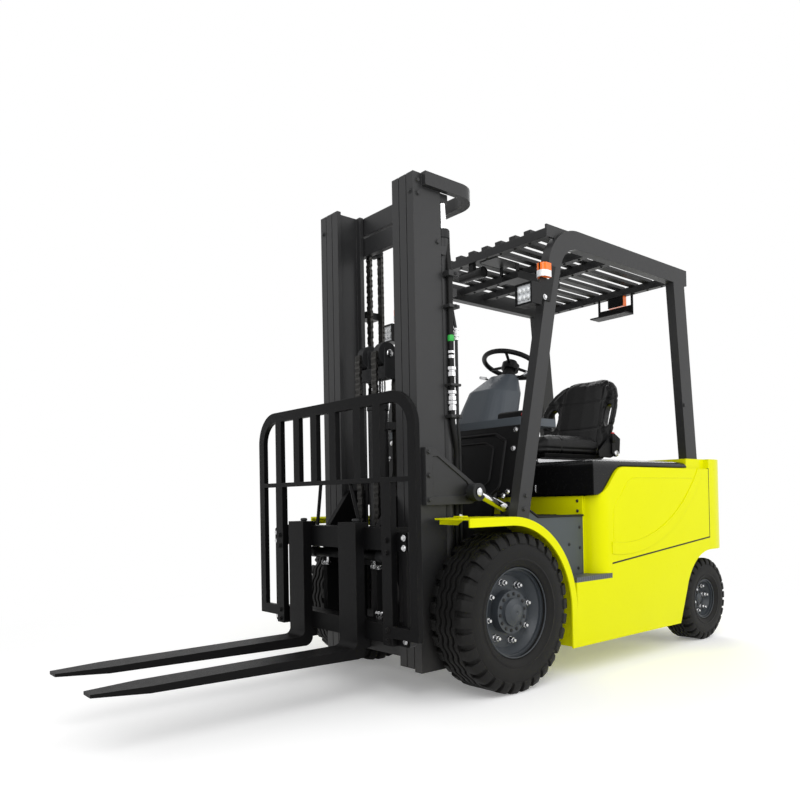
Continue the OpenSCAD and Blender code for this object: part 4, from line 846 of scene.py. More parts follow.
class Workshop:
    """The patterns, made once, and the helpers that use them."""

    spread: float = 0.5
    seed: int = 7

    def __init__(self) -> None:
        """Builds the four trees and the bolt and nut templates."""
        self.ring, self.row = Ring("ring_of_copies"), Row("row_of_copies")
        self.scatter, self.sweep = Scatter("copies_on_points"), Sweep("bent_tube")
        self.bolt = self._head("bolt_head", 6, 0.0095, 0.0065)
        self.screw = self._head("screw_head", 12, 0.0060, 0.0032)
        self.nut = self._nut()

    def _head(self, name: str, sides: int, radius: float, height: float) -> bpy.types.Object:
        """A bolt head on its washer, along Z in metres.

        Args:
            name: The template's name.
            sides: Flats on the head.
            radius: The head's radius.
            height: The head's height.

        Returns:
            The template.
        """
        washer, sunk, wide = 0.0018, 0.0016, radius * 1.35
        form = Form().face_loop([hoop(wide, 0.0, 14), hoop(wide, washer, 14)])
        form.face_loop([hoop(radius, sunk, sides), hoop(radius, height * 0.85 + washer, sides),
                        hoop(radius * 0.86, height + washer, sides)])
        return form.template(name)

    def _nut(self) -> bpy.types.Object:
        """A wheel nut with its flange and stud, along Z in metres.

        Returns:
            The template.
        """
        form = Form()
        for count, rings in ((16, ((0.0175, 0.0), (0.0150, 0.006))),
                             (6, ((0.0140, 0.004), (0.0140, 0.020), (0.0120, 0.023))),
                             (10, ((0.0080, 0.018), (0.0080, 0.033), (0.0066, 0.035)))):
            form.face_loop([hoop(radius, height, count) for radius, height in rings])
        return form.template("wheel_nut")

    def bolts(self, name: str, body: str, spots: list[Fixing], coat: Coat = Coat.STEEL,
              template: bpy.types.Object | None = None) -> bpy.types.Object:
        """Sets bolts on one body.

        Args:
            name: The piece's name.
            body: The body that carries them.
            spots: Where they sit.
            coat: Their finish.
            template: The head to repeat, the bolt's where it isn't given.

        Returns:
            One piece with all of them.
        """
        host = bpy.data.meshes.new("spots")
        host.from_pydata([place(*s.at) for s in spots], [], [])
        turns = host.attributes.new("turn", "FLOAT_VECTOR", "POINT")
        for item, spot in zip(turns.data, spots):
            item.vector = Vector(spot.faces).to_track_quat("Z", "Y").to_euler()
        mesh = self.scatter.grow(coat, host, Template=template or self.bolt, Spread=self.spread,
                                 Seed=self.seed)
        return Form().join(mesh).piece(name, body, coat, tidy=False)

    def tube(self, points: list[Point], radius: float, bend: float, coat: Coat) -> bpy.types.Mesh:
        """A pipe or hose through points.

        Args:
            points: The corners of its path, in millimetres.
            radius: Its own radius in millimetres.
            bend: The radius of its bends in millimetres.
            coat: Its finish.

        Returns:
            The mesh.
        """
        host = bpy.data.meshes.new("path")
        host.from_pydata([place(*p) for p in points], [(i, i + 1) for i in range(len(points) - 1)], [])
        return self.sweep.grow(coat, host, Radius=radius / MM, Bend=bend / MM)

    def tubes(self, name: str, body: str, coat: Coat, runs: list[Run],
              stands_for: tuple[str, ...] = ()) -> bpy.types.Object:
        """Several pipes on one body.

        Args:
            name: The piece's name.
            body: The body that carries them.
            coat: Their finish.
            runs: Points, radius and bend radius of each, in millimetres.
            stands_for: CAD nodes that the piece replaces.

        Returns:
            One piece with all of them.
        """
        form = Form()
        for points, radius, bend in runs:
            form.join(self.tube(points, radius, bend, coat))
        return form.piece(name, body, coat, stands_for=stands_for)


# Scene


@dataclass
class Studio:
    """The floor, the soft light and the camera of the photograph.

    Attributes:
        eye: The camera's place in metres.
        lens: Its focal length in millimetres.
        lift: How much the floor is brightened where it is seen.
        sky: The strength of the sky's light.
        floor_half: Half of the floor's side in metres.
        plain_within: The distance within which the floor doesn't fade.
        fade: How fast it fades to white beyond that.
        lamps: Name, place, side and power of each lamp.
        aim: The point that the lamps face.
    """

    eye: Point = (2.61617437, 2.70213811, 0.854147285)
    yaw: float = -2.27169668
    pitch: float = 0.0125743545
    roll: float = -0.0181980329
    lens: float = 33.012
    shift: float = 0.1126
    lift: float = 0.20
    sky: float = 0.62
    floor_half: float = 30.0
    plain_within: float = 1.9
    fade: float = 0.55
    lamps: tuple[tuple[str, Point, float, float], ...] = (
        ("key", (3.2, 3.4, 4.2), 4.0, 138), ("side", (-2.5, 4.6, 2.6), 3.5, 58),
        ("back", (-4.5, -3.0, 3.6), 4.0, 110))
    aim: Point = (0, 0, 0.9)

    def build(self) -> None:
        """Sets up the camera, the sky, the floor and the lamps."""
        scene = bpy.context.scene
        scene.view_settings.view_transform = "Standard"
        self._camera(scene)
        self._sky(scene)
        self._floor()
        for lamp in self.lamps:
            self._panel(*lamp)

    def _camera(self, scene: bpy.types.Scene) -> None:
        """Places the camera as the photograph was taken.

        Args:
            scene: The scene that it goes into.
        """
        ahead = Vector((math.cos(self.yaw) * math.cos(self.pitch),
                        math.sin(self.yaw) * math.cos(self.pitch), math.sin(self.pitch)))
        right = ahead.cross(Vector(UP)).normalized()
        up = right.cross(ahead)
        x = right * math.cos(self.roll) + up * math.sin(self.roll)
        y = up * math.cos(self.roll) - right * math.sin(self.roll)
        data = bpy.data.cameras.new("camera")
        data.lens, data.sensor_width, data.shift_y = self.lens, 36.0, self.shift
        camera = bpy.data.objects.new("camera", data)
        camera.matrix_world = Matrix((x, y, -ahead)).transposed().to_4x4()
        camera.location = self.eye
        scene.collection.objects.link(camera)
        scene.camera = camera

    def _sky(self, scene: bpy.types.Scene) -> None:
        """A sky that looks white and lights the truck softly.

        Args:
            scene: The scene that it goes into.
        """
        world = bpy.data.worlds.new("studio")
        scene.world = world
        world.use_nodes = True
        nodes, links = world.node_tree.nodes, world.node_tree.links
        nodes.clear()
        path = nodes.new("ShaderNodeLightPath")
        seen = path.outputs["Is Camera Ray"]
        for other in ("Is Glossy Ray", "Is Transmission Ray"):
            either = nodes.new("ShaderNodeMath")
            either.operation = "MAXIMUM"
            links.new(seen, either.inputs[0])
            links.new(path.outputs[other], either.inputs[1])
            seen = either.outputs[0]
        soft, white = nodes.new("ShaderNodeBackground"), nodes.new("ShaderNodeBackground")
        soft.inputs["Strength"].default_value = self.sky
        for light in (soft, white):
            light.inputs["Color"].default_value = (*WHITE, 1)
        mix, out = nodes.new("ShaderNodeMixShader"), nodes.new("ShaderNodeOutputWorld")
        links.new(seen, mix.inputs[0])
        links.new(soft.outputs[0], mix.inputs[1])
        links.new(white.outputs[0], mix.inputs[2])
        links.new(mix.outputs[0], out.inputs[0])

    def _floor(self) -> None:
        """A wide pale floor that takes the truck's shadow and fades to white away from it."""
        mesh = bpy.data.meshes.new("floor")
        h = self.floor_half
        mesh.from_pydata([(-h, -h, 0), (h, -h, 0), (h, h, 0), (-h, h, 0)], [], [(0, 1, 2, 3)])
        floor = bpy.data.objects.new("floor", mesh)
        g = Graph("floor_paper")
        paper = g.blend(g.noise(0.8, 2), (0.955, 0.955, 0.955), (0.965, 0.965, 0.965))
        g.feed(g.shader.inputs["Base Color"], paper)
        g.shader.inputs["Roughness"].default_value = 0.9
        g.shader.inputs["Specular IOR Level"].default_value = 0.0
        seen = g.add("ShaderNodeLightPath", {}, {}, "Is Camera Ray")
        for other in ("Is Glossy Ray", "Is Transmission Ray"):
            seen = seen.math("MAXIMUM", g.add("ShaderNodeLightPath", {}, {}, other))
        away = g.add("ShaderNodeVectorMath", {"operation": "LENGTH"}, {0: g.here()}, "Value")
        far = ((away - self.plain_within) * self.fade).clamp()
        plain = Wire(g, g.shader.outputs[0])
        glow = g.add("ShaderNodeEmission", {}, {"Color": WHITE, "Strength": self.lift})
        lifted = g.add("ShaderNodeAddShader", {}, {0: plain, 1: glow})
        lit = g.add("ShaderNodeMixShader", {}, {0: seen, 1: plain, 2: lifted})
        white = g.add("ShaderNodeEmission", {}, {"Color": WHITE, "Strength": 1.0})
        both = g.add("ShaderNodeMixShader", {}, {0: far * seen, 1: lit, 2: white})
        g.feed(g.tree.nodes["Material Output"].inputs["Surface"], both)
        mesh.materials.append(g.material)
        bpy.context.scene.collection.objects.link(floor)

    def _panel(self, name: str, at: Point, size: float, power: float) -> None:
        """Adds a square soft lamp that faces the truck.

        Args:
            name: The lamp's name.
            at: Its place in metres.
            size: Its side in metres.
            power: Its power in watts.
        """
        data = bpy.data.lights.new(name, "AREA")
        data.size, data.energy = size, power
        lamp = bpy.data.objects.new(name, data)
        lamp.location = at
        lamp.rotation_euler = (Vector(self.aim) - Vector(at)).to_track_quat("-Z", "Y").to_euler()
        bpy.context.scene.collection.objects.link(lamp)


@dataclass
class CadFinishes:
    """The finish of every CAD node, also of those that a dressed piece stands for."""

    def dress(self) -> None:
        """Gives each node its material, and some nodes a second one by place."""
        groups = {
            Coat.YELLOW: ("front_fenders", "side_panels", "counterweight"),
            Coat.SLATE: ("floor_plate",),
            Coat.TREAD: ("steps",),
            Coat.PLASTIC: ("cowl_panel", "steering_column", "steering_wheel", "grab_handle"),
            Coat.DASH: ("dash_cover",),
            Coat.GLOSS: ("hood_deck",),
            Coat.FRAME: ("guard_frame", "guard_slats"),
            Coat.IRON: ("drive_axle", "steer_axle", "knuckle_left", "knuckle_right", "battery_block"),
            Coat.CHROME: ("lift_rods", "steer_rod"),
            Coat.CHAIN: ("main_chains", "free_lift_chains"),
            Coat.RIM: ("front_left_rim", "front_right_rim", "rear_left_rim", "rear_right_rim"),
            Coat.TYRE: ("front_left_tyre", "front_right_tyre", "rear_left_tyre", "rear_right_tyre"),
            Coat.MAST: ("mast_outer_rails", "mast_middle_rails", "mast_inner_rails", "mast_brackets",
                        "lift_barrels", "free_lift_barrel", "tilt_barrels"),
            Coat.FORK: ("carriage_frame", "shift_frame", "backrest", "fork_left", "fork_right"),
            Coat.SEAT: ("seat_cushion", "seat_back"),
        }
        for coat, names in groups.items():
            for name in names:
                self._paint(name, [(coat, anywhere)])
        self._paint("chassis_frame", [(Coat.MAST, lambda x, y, z: x > -560 and abs(y) < 570),
                                      (Coat.YELLOW, anywhere)])
        self._paint("free_lift_head", [
            (Coat.CHROME, lambda x, y, z: math.hypot(x - 300, y) < 33 and z < 1412),
            (Coat.CHAIN, lambda x, y, z: x < 256 and z < 1500 and abs(y) > 40),
            (Coat.IRON, anywhere)])
        self._paint("main_sheaves", [(Coat.CHAIN, lambda x, y, z: x < 99 and z < 2090),
                                     (Coat.IRON, anywhere)])
        self._paint("tilt_rods", [(Coat.IRON, lambda x, y, z: math.hypot(x - 82, z - 880) < 46),
                                  (Coat.CHROME, anywhere)])
        self._paint("work_lamps", [
            (Coat.LAMP, lambda x, y, z: x > -181 and abs(abs(y) - 501) < 41.5 and abs(z - 1792) < 41.5),
            (Coat.AMBER, lambda x, y, z: z > 1881 and -312 < x and not 525.5 < abs(y) < 532.5),
            (Coat.PLASTIC, anywhere)])
        self._paint("rear_lamp", [(Coat.AMBER, lambda x, y, z: x < -1573.5 and abs(y - 70) < 56),
                                  (Coat.PLASTIC, anywhere)])

    def _paint(self, name: str, rules: list[tuple[Coat, Test]]) -> None:
        """Gives each face of a node the finish of the first rule that it meets.

        Args:
            name: The node.
            rules: Finishes, each with a test of the face's middle in millimetres from the front axle.
        """
        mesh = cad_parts[name].data
        mesh.materials.clear()
        for coat, _ in rules:
            mesh.materials.append(coat.material)
        for face in mesh.polygons:
            x, y, z = face.center * MM
            face.material_index = next(i for i, (_, test) in enumerate(rules) if test(x - AXLE_X, y, z))


# Sub-assemblies


@dataclass
class Wheel:
    """One wheel: a lugged tyre on a dished rim with its nuts and hub cap.

    Attributes:
        out: 1 on the left and -1 on the right.
        radius: The tyre's radius over its tread.
        seat: The radius that the tyre sits on.
        lugs: Shoulder lugs to a side.
        nut_circle: The radius that the nuts sit on.
        disc: How far out the disc's face lies.
        hub: The hub's radius.
        hub_face: How far out the hub's face lies.
        depth: The depth of the tread.
        drawn_wall: The height of wall that the tyre's section is drawn for.
    """

    shop: Workshop
    body: str
    tyre_node: str
    centre: Point
    out: int
    radius: float
    width: float
    seat: float
    lugs: int
    nuts: int
    nut_circle: float
    disc: float
    hub: float
    hub_face: float
    depth: float = 15.0
    drawn_wall: float = 137.0

    @property
    def axis(self) -> Point:
        """The way out along the axle."""
        return (0, self.out, 0)

    @property
    def seated(self) -> Matrix:
        """The matrix from a wheel about Z to its place on the axle."""
        turn = Vector(self.axis).to_track_quat("Z", "Y").to_matrix().to_4x4()
        return Matrix.Translation(place(*self.centre)) @ turn

    def build(self) -> None:
        """Builds the tyre and dresses the rim."""
        self._tyre()
        self._nuts()
        self._cap()

    def _tyre(self) -> None:
        """The carcass, its shoulder lugs and its zigzag ribs, in one piece."""
        r, h, s = self.radius - self.depth, self.width / 2, self.seat
        wall = (r - s) / self.drawn_wall
        half = [(s + up * wall, h - inward * wall) for up, inward in (
            (0, 24), (6, 15), (16, 9.5), (30, 4), (32, 1.5), (38, 1.5), (40, 3), (58, 0.8), (74, 0.4),
            (90, 2.6), (108, 7), (122, 14), (132, 23))] + [(r, h - 34 * wall)]
        section = half + [(a, -b) for a, b in reversed(half)]
        form = Form().lathe(section, self.centre, self.axis, 96, closed=True)
        for side in SIDES:
            block = self._lug(h, wall, side)
            phase = math.pi / self.lugs if side < 0 else 0.0
            form.join(self.shop.ring.grow(Coat.TYRE, Template=block, Count=self.lugs, Radius=r / MM,
                                          Phase=phase), self.seated)
        for middle in (-0.375, -0.125, 0.125, 0.375):
            self._rib(form, r, middle * self.width * 0.56)
        form.piece(f"{self.tyre_node}_treaded", self.body, Coat.TYRE, stands_for=(self.tyre_node,))

    def _lug(self, h: float, wall: float, side: int) -> bpy.types.Object:
        """One shoulder lug about the ring's radius, in metres with X outwards and Z along the axle.

        Args:
            h: Half of the tyre's width.
            wall: The scale of the tyre's section.
            side: 1 on the outer side and -1 on the inner one.

        Returns:
            The template.
        """
        d = self.depth
        section = [(d, 0.55 * h), (d, h - 26 * wall), (d - 4, h - 17 * wall), (-14 * wall, h - 3 * wall),
                   (-32 * wall, h - 0.2 * wall), (-40 * wall, h - 8 * wall), (-20 * wall, h - 30 * wall),
                   (-4, 0.5 * h)]
        length = math.tau * self.radius / self.lugs * 0.62
        rings = []
        for along, shrink in ((-0.5, 1.6), (-0.42, 0.0), (0.42, 0.0), (0.5, 1.6)):
            rings.append([Vector((x - (shrink if x > -4 else 0), along * length + 0.06 * z * side,
                                  side * (z - (shrink * 0.6 if z > 0.6 * h else 0)))) / MM
                          for x, z in section])
        return Form().face_loop(rings).template("lug")

    def _rib(self, form: Form, r: float, middle: float) -> None:
        """A rib around the tread that zigzags once for each lug.

        Args:
            form: The tyre that gets it.
            r: The radius of the tread's floor.
            middle: The rib's distance from the tyre's middle.
        """
        count, w, sway = self.lugs * 4, self.width * 0.040, self.width * 0.022
        turn, spot = self.seated.to_3x3(), self.seated.translation
        rings = []
        for i in range(count + 1):
            a = math.tau * (i % count) / count
            shift = middle + sway * (1, 1, -1, -1)[i % 4]
            section = ((r - 3, -w * 1.25), (self.radius - 1.5, -w), (self.radius - 0.5, 0),
                       (self.radius - 1.5, w), (r - 3, w * 1.25))
            rings.append([spot + turn @ (Vector((x * math.cos(a), x * math.sin(a), z + shift)) / MM)
                          for x, z in section])
        form.face_loop(rings, caps=False)
        bmesh.ops.remove_doubles(form.mesh, verts=form.mesh.verts, dist=1e-6)

    def _nuts(self) -> None:
        """Wheel nuts on the disc and bolts on the hub's face."""
        lift = self.seated @ Matrix.Translation((0, 0, self.disc / MM))
        ring = self.shop.ring.grow(Coat.STEEL, Template=self.shop.nut, Count=self.nuts,
                                   Radius=self.nut_circle / MM, Phase=0.2)
        Form().join(ring, lift).piece(f"{self.body}_nuts", self.body, Coat.STEEL, tidy=False)
        face = self.seated @ Matrix.Translation((0, 0, self.hub_face / MM))
        count = max(6, round(self.hub / 6.6))
        bolts = self.shop.ring.grow(Coat.IRON, Template=self.shop.screw, Count=count,
                                    Radius=self.hub * 0.84 / MM, Phase=0.1)
        Form().join(bolts, face).piece(f"{self.body}_hub_bolts", self.body, Coat.IRON, tidy=False)

    def _cap(self) -> None:
        """The domed cap on the hub and a bead on the rim's edge."""
        f, k = self.hub_face - 1, self.hub / 95
        profile = [(0.5, f), (62 * k, f), (61 * k, f + 7 * k), (55 * k, f + 13 * k), (44 * k, f + 17 * k),
                   (41 * k, f + 24 * k), (36 * k, f + 28 * k), (9 * k, f + 30 * k), (6 * k, f + 27 * k),
                   (0.5, f + 26 * k)]
        form = Form().lathe(profile, self.centre, self.axis, 40)
        edge = self.width / 2 - 22 * self.width / 225
        bead = [(self.seat - 3 + u, edge + v) for u, v in circle(3.2, 8)]
        form.lathe(bead, self.centre, self.axis, 72, closed=True)
        form.piece(f"{self.body}_hub_cap", self.body, Coat.RIM)


@dataclass
class Wheels:
    """The two drive wheels and the two steered wheels."""

    shop: Workshop

    def build(self) -> None:
        """Builds all four."""
        for name, out in NAMED_SIDES:
            Wheel(self.shop, f"wheel_front_{name}", f"front_{name}_tyre", (0, 482 * out, 350), out,
                  radius=350, width=225, seat=198, lugs=30, nuts=8, nut_circle=132, disc=20, hub=95,
                  hub_face=64).build()
            Wheel(self.shop, f"wheel_rear_{name}", f"rear_{name}_tyre", (-1700, 471.5 * out, 238), out,
                  radius=238, width=173, seat=114, lugs=26, nuts=6, nut_circle=74, disc=20, hub=47.5,
                  hub_face=31, depth=11).build()


@dataclass
class Chains:
    """The leaf chains that lift the inner mast and the carriage."""

    shop: Workshop
    pitch: float = 25.4
    main_y: float = 225.0
    main_top: float = 2120.0
    lift_y: float = 62.0
    lift_top: float = 1530.0

    def build(self) -> None:
        """Lays links on every run; each front run gets a mesh of its own."""
        for side, s in NAMED_SIDES:
            y = s * self.main_y
            self._run(f"main_chain_{side}", "mast_middle", (160.5, y, 347), self.main_top,
                      "mast_extend", "main_chains")
            self._run(f"main_chain_back_{side}", "mast_middle", (88, y, 272), self.main_top)
        for side, s in NAMED_SIDES:
            y = s * self.lift_y
            self._run(f"lift_chain_{side}", "free_lift_head", (363.5, y, 502), self.lift_top, "free_lift",
                      "free_lift_chains")
            self._run(f"lift_chain_back_{side}", "free_lift_head", (245, y, 572), self.lift_top)

    def _run(self, name: str, body: str, foot: Point, top: float, joint: str = "",
             node: str = "") -> None:
        """One straight run of chain.

        Args:
            name: The piece's name.
            body: The body that it rides on.
            foot: The middle of its lower end.
            top: The height of its upper end.
            joint: The joint of a front run; where it is given, the piece gets a mesh of its own.
            node: The CAD node that it stands for.
        """
        x, y, z = foot
        count = int((top - z) / self.pitch / 2)
        step = (top - z) / count
        form = Form()
        for shape, lift in ((self._plates((-15.5, -7, 1.5, 10)), 0.0),
                            (self._plates((-11.2, -2.7, 5.8, 14.2)), 0.5)):
            start = place(x, y, z + step * (lift + 0.25))
            form.join(self.shop.row.grow(Coat.CHAIN, Template=shape, Count=count, Start=start,
                                         Step=(0, 0, step / MM)))
        piece = form.piece(name, body, Coat.CHAIN, stands_for=(node,) if node else (), tidy=False)
        if joint:
            tuple(place(x, y, top))
            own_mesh(piece)

    def _plates(self, places: tuple[float, ...]) -> bpy.types.Object:
        """A set of waisted link plates with the pin at each end, in metres about the link's middle.

        Args:
            places: The middle of each plate across the chain.

        Returns:
            The template.
        """
        p, form = self.pitch / 2, Form()
        outline = [(8.2, p), (5.8, p + 5.8), (0, p + 8.2), (-5.8, p + 5.8), (-8.2, p), (-6.4, 0), (-8.2, -p),
                   (-5.8, -p - 5.8), (0, -p - 8.2), (5.8, -p - 5.8), (8.2, -p), (6.4, 0)]
        for y in places:
            form.face_loop([[Vector((u, y + t, v)) / MM for u, v in outline] for t in (-1.9, 1.9)])
        for end in (p, -p):
            form.face_loop([[Vector((u, t, end + v)) / MM for u, v in circle(4.2, 8)] for t in (-18.5, 18.5)])
        return form.template("chain_link")


@dataclass
class Body:
    """The painted body's relief, fastenings and floor trim, and the hood's fittings."""

    shop: Workshop
    side: float = 590.0
    front: float = -600.0
    back: float = -1688.0
    lip: float = 860.0
    top: float = 1005.0
    run: float = 210.0

    def build(self) -> None:
        """Builds what the plain panels lack."""
        self._creases()
        self._screws()
        self._hood()
        self._floor_trim()
        self._fenders()
        self._rear()

    def edge(self, x: float) -> float:
        """The height of the hood's lower edge along the side."""
        share = held((self.front - x) / self.run)
        return self.lip + (self.top - self.lip) * (1 - math.cos(math.pi * share)) / 2

    def _creases(self) -> None:
        """A bead along each panel under the hood, and dark tubes in the seams round it that paint the shade
        of their thin gaps.
        """
        runs, bead, bend = [], 2.6, 20
        for s in SIDES:
            y = s * (self.side - 0.6)
            swept = [(x, y, self.edge(x + 95) - 62) for x in range(-740, int(self.back) + 40, -38)]
            runs.append((swept, bead, bend))
            runs.append(([(-720, y, 560), (-716, y, 760), (-728, y, 790), swept[0]], bead, bend))
        self.shop.tubes("panel_beads", "chassis", Coat.YELLOW, runs)
        # Painted shade: these dark tubes in the seams stand in for the shadow in gaps too thin to show it.
        low, high, drawn_in = (-702.0, 516.8), (-1688.5, 602.4), 4.2
        shade_strips = []
        for s in SIDES:
            y = s * (self.side - drawn_in)
            shade_strips.append(([(low[0], y, low[1]), (high[0], y, high[1])], 6.0, 30))
            shade_strips.append(([(high[0], y, high[1]), (high[0], y, 1002)], 5.4, 16))
        self.shop.tubes("seam_strips", "chassis", Coat.RUBBER, shade_strips)

    def _screws(self) -> None:
        """Small screws at the tub, the panels' fronts and the steps' risers."""
        spots = []
        for s in SIDES:
            spots += [Fixing((-588, s * 470, z), AHEAD) for z in (830, 780, 640, 590)]
            for x, z in ((-560, 700), (-560, 600), (-475, 620), (-545, 500)):
                spots.append(Fixing((x, s * 500, z), (0, s, 0)))
        self.shop.bolts("body_screws", "chassis", spots, Coat.IRON, self.shop.screw)

    def _hood(self) -> None:
        """The lock's plate and knob, the hood's ribs and raised rim, and the finger pull."""
        top = DECK
        form = Form()
        form.loft([[(-1452 + d, -330 + e * 0.6, top + z), (-1452 + d, -200 - e * 0.6, top + z),
                    (-1370 - d, -200 - e * 0.6, top + z), (-1370 - d, -330 + e * 0.6, top + z)]
                   for d, e, z in ((0, 0, -1), (0, 0, 5), (9, 12, 13), (14, 20, 14))])
        knob = [(11, 13), (12, 20), (9, 25), (15, 28), (17, 33), (14, 38), (4, 40)]
        form.lathe(knob, (-1410, -262, top), UP, 24)
        form.piece("hood_lock", "hood", Coat.PLASTIC, bevel=2.0)
        pad = Form()
        for s in SIDES:
            pad.loft([[(x, s * (452 + w), top + z)
                       for w, z in ((0, -1), (6 * k, 7 * k), (34 - 6 * k, 7 * k), (34, -1))]
                      for x, k in ((-1440, 0.1), (-1400, 1), (-760, 1), (-690, 0.6), (-655, 0.05))])
        pad.piece("hood_ribs", "hood", Coat.GLOSS, bevel=1.5)
        self.shop.tubes("hood_rim", "hood", Coat.GLOSS, [
            ([(-1460, -536, top - 8), (-640, -536, top - 8), (-603, -500, top - 10), (-603, 500, top - 10),
              (-640, 536, top - 8), (-1460, 536, top - 8)], 9.0, 30)])
        self.shop.tubes("hood_pull", "hood", Coat.STEEL, [
            ([(-577, 225, 878), (-566, 225, 878), (-566, 225, 914), (-577, 225, 914)], 3.5, 6)])

    def _floor_trim(self) -> None:
        """The ribbed rubber mat, and the strip and the wedge along each open side of the floor."""
        mat = Form()
        mat.box((-575, -370, 757), (-200, 370, 761))
        count = 19
        for i in range(count):
            y = -352 + 704 * i / (count - 1)
            mat.prism([(y - 7, 761), (y - 4, 764), (y + 4, 764), (y + 7, 761)], -565, -210, "x")
        mat.piece("floor_mat", "chassis", Coat.RUBBER)
        runs = [([(-586, s * 503, 759), (-240, s * 503, 761), (-96, s * 503, 838)], 5.5, 24) for s in SIDES]
        self.shop.tubes("floor_edging", "chassis", Coat.RUBBER, runs)
        wedges = Form()
        for s in SIDES:
            wedges.prism([(-240, 752), (-92, 752), (-92, 840), (-236, 763)], s * 496, s * 502, "y")
        wedges.piece("floor_wedges", "chassis", Coat.SLATE, bevel=1.0)

    def _fenders(self) -> None:
        """The folded gusset in each fender's front and the bracket with its bolt."""
        form = Form()
        for s in SIDES:
            form.prism([(285, 768), (120, 768), (180, 735), (285, 742)], s * 392, s * 398, "y")
            form.box((150, min(s * 392, s * 432), 771), (200, max(s * 392, s * 432), 776))
        form.piece("fender_gussets", "chassis", Coat.YELLOW, bevel=1.0)
        self.shop.bolts("fender_bolts", "chassis", [Fixing((175, s * 412, 776), UP) for s in SIDES])

    def _rear(self) -> None:
        """Two lamp clusters on the counterweight's back."""
        for name, s in NAMED_SIDES:
            y = s * 215
            form = Form()
            form.loft([[(-2010 - d, y + a * w, 940 + b * h) for a, b in ((-1, -1), (1, -1), (1, 1), (-1, 1))]
                       for d, w, h in ((-2, 62, 27), (6, 62, 27), (9, 57, 22))])
            form.piece(f"tail_lamp_{name}", "chassis", Coat.RED, bevel=2.0)


@dataclass
class Pad:
    """A padded piece that a cloth simulation swells from a slightly smaller form.

    Attributes:
        name: The piece's name.
        body: The body that carries it.
        fill: How firmly it is filled; not used.
        voxel: The size of the cover's faces in metres.
        pressure: The pressure that swells it.
        most: The furthest that a point moves.
        steps: Frames of the simulation.
        seam_depth: How far a seam is drawn in.
        seam_width: How wide the drawn groove is.
    """

    name: str
    body: str
    fill: float
    voxel: float = 0.007
    pressure: float = 4.0
    most: float = 0.011
    steps: int = 20
    seam_depth: float = 0.0055
    seam_width: float = 0.006

    def build(self, form: Form, seams: list[Seam], stands_for: str,
              cuts: Form | None = None) -> bpy.types.Object:
        """Swells the form and sews its seams.

        Args:
            form: The closed form before it is filled.
            seams: Functions that give a point's distance from a seam in metres.
            stands_for: The CAD node that the pad replaces.
            cuts: Holes through the pad.

        Returns:
            The finished piece.
        """
        raw = form.shape(f"{self.name}_raw")
        if cuts is not None:
            tool = cuts.shape(f"{self.name}_holes")
            cut = raw.modifiers.new("holes", "BOOLEAN")
            cut.operation, cut.object, cut.solver = "DIFFERENCE", tool, "EXACT"
        even = raw.modifiers.new("even", "REMESH")
        even.mode, even.voxel_size = "VOXEL", self.voxel
        mesh = self._result(raw)
        if cuts is not None:
            bpy.data.objects.remove(tool)
        bpy.data.objects.remove(raw)
        self._swell(mesh)
        self._sew(mesh, seams)
        piece = Form().join(mesh).piece(self.name, self.body, Coat.SEAT, smooth=1, stands_for=(stands_for,))
        return piece

    def _result(self, shape: bpy.types.Object) -> bpy.types.Mesh:
        """The mesh that an object's modifiers leave.

        Args:
            shape: The object.

        Returns:
            A plain mesh.
        """
        shape.update_tag()
        graph = bpy.context.evaluated_depsgraph_get()
        return bpy.data.meshes.new_from_object(shape.evaluated_get(graph), depsgraph=graph)

    def _swell(self, mesh: bpy.types.Mesh) -> None:
        """Runs the cloth under pressure and moves each point, but no further than the cap.

        Args:
            mesh: The cover, which is changed in place.
        """
        cover = bpy.data.objects.new("swelling", mesh.copy())
        bpy.context.scene.collection.objects.link(cover)
        cloth = cover.modifiers.new("cloth", "CLOTH")
        cloth.settings.use_pressure = True
        cloth.settings.uniform_pressure_force = self.pressure
        cloth.settings.effector_weights.gravity = 0.0
        cloth.point_cache.frame_start, cloth.point_cache.frame_end = 1, self.steps
        for step in range(1, self.steps + 1):
            bpy.context.scene.frame_set(step)
        swelled = self._result(cover)
        for point, moved in zip(mesh.vertices, swelled.vertices):
            way = moved.co - point.co
            if way.length > self.most:
                way *= self.most / way.length
            point.co += way
        cover.modifiers.clear()
        bpy.data.objects.remove(cover)
        bpy.context.scene.frame_set(1)

    def _sew(self, mesh: bpy.types.Mesh, seams: list[Seam]) -> None:
        """Pulls the cover in along its seams."""
        normals = [n.vector.copy() for n in mesh.vertex_normals]
        for point, normal in zip(mesh.vertices, normals):
            near = min(abs(seam(point.co)) for seam in seams)
            point.co -= normal * self.seam_depth * math.exp(-(near / self.seam_width) ** 2)


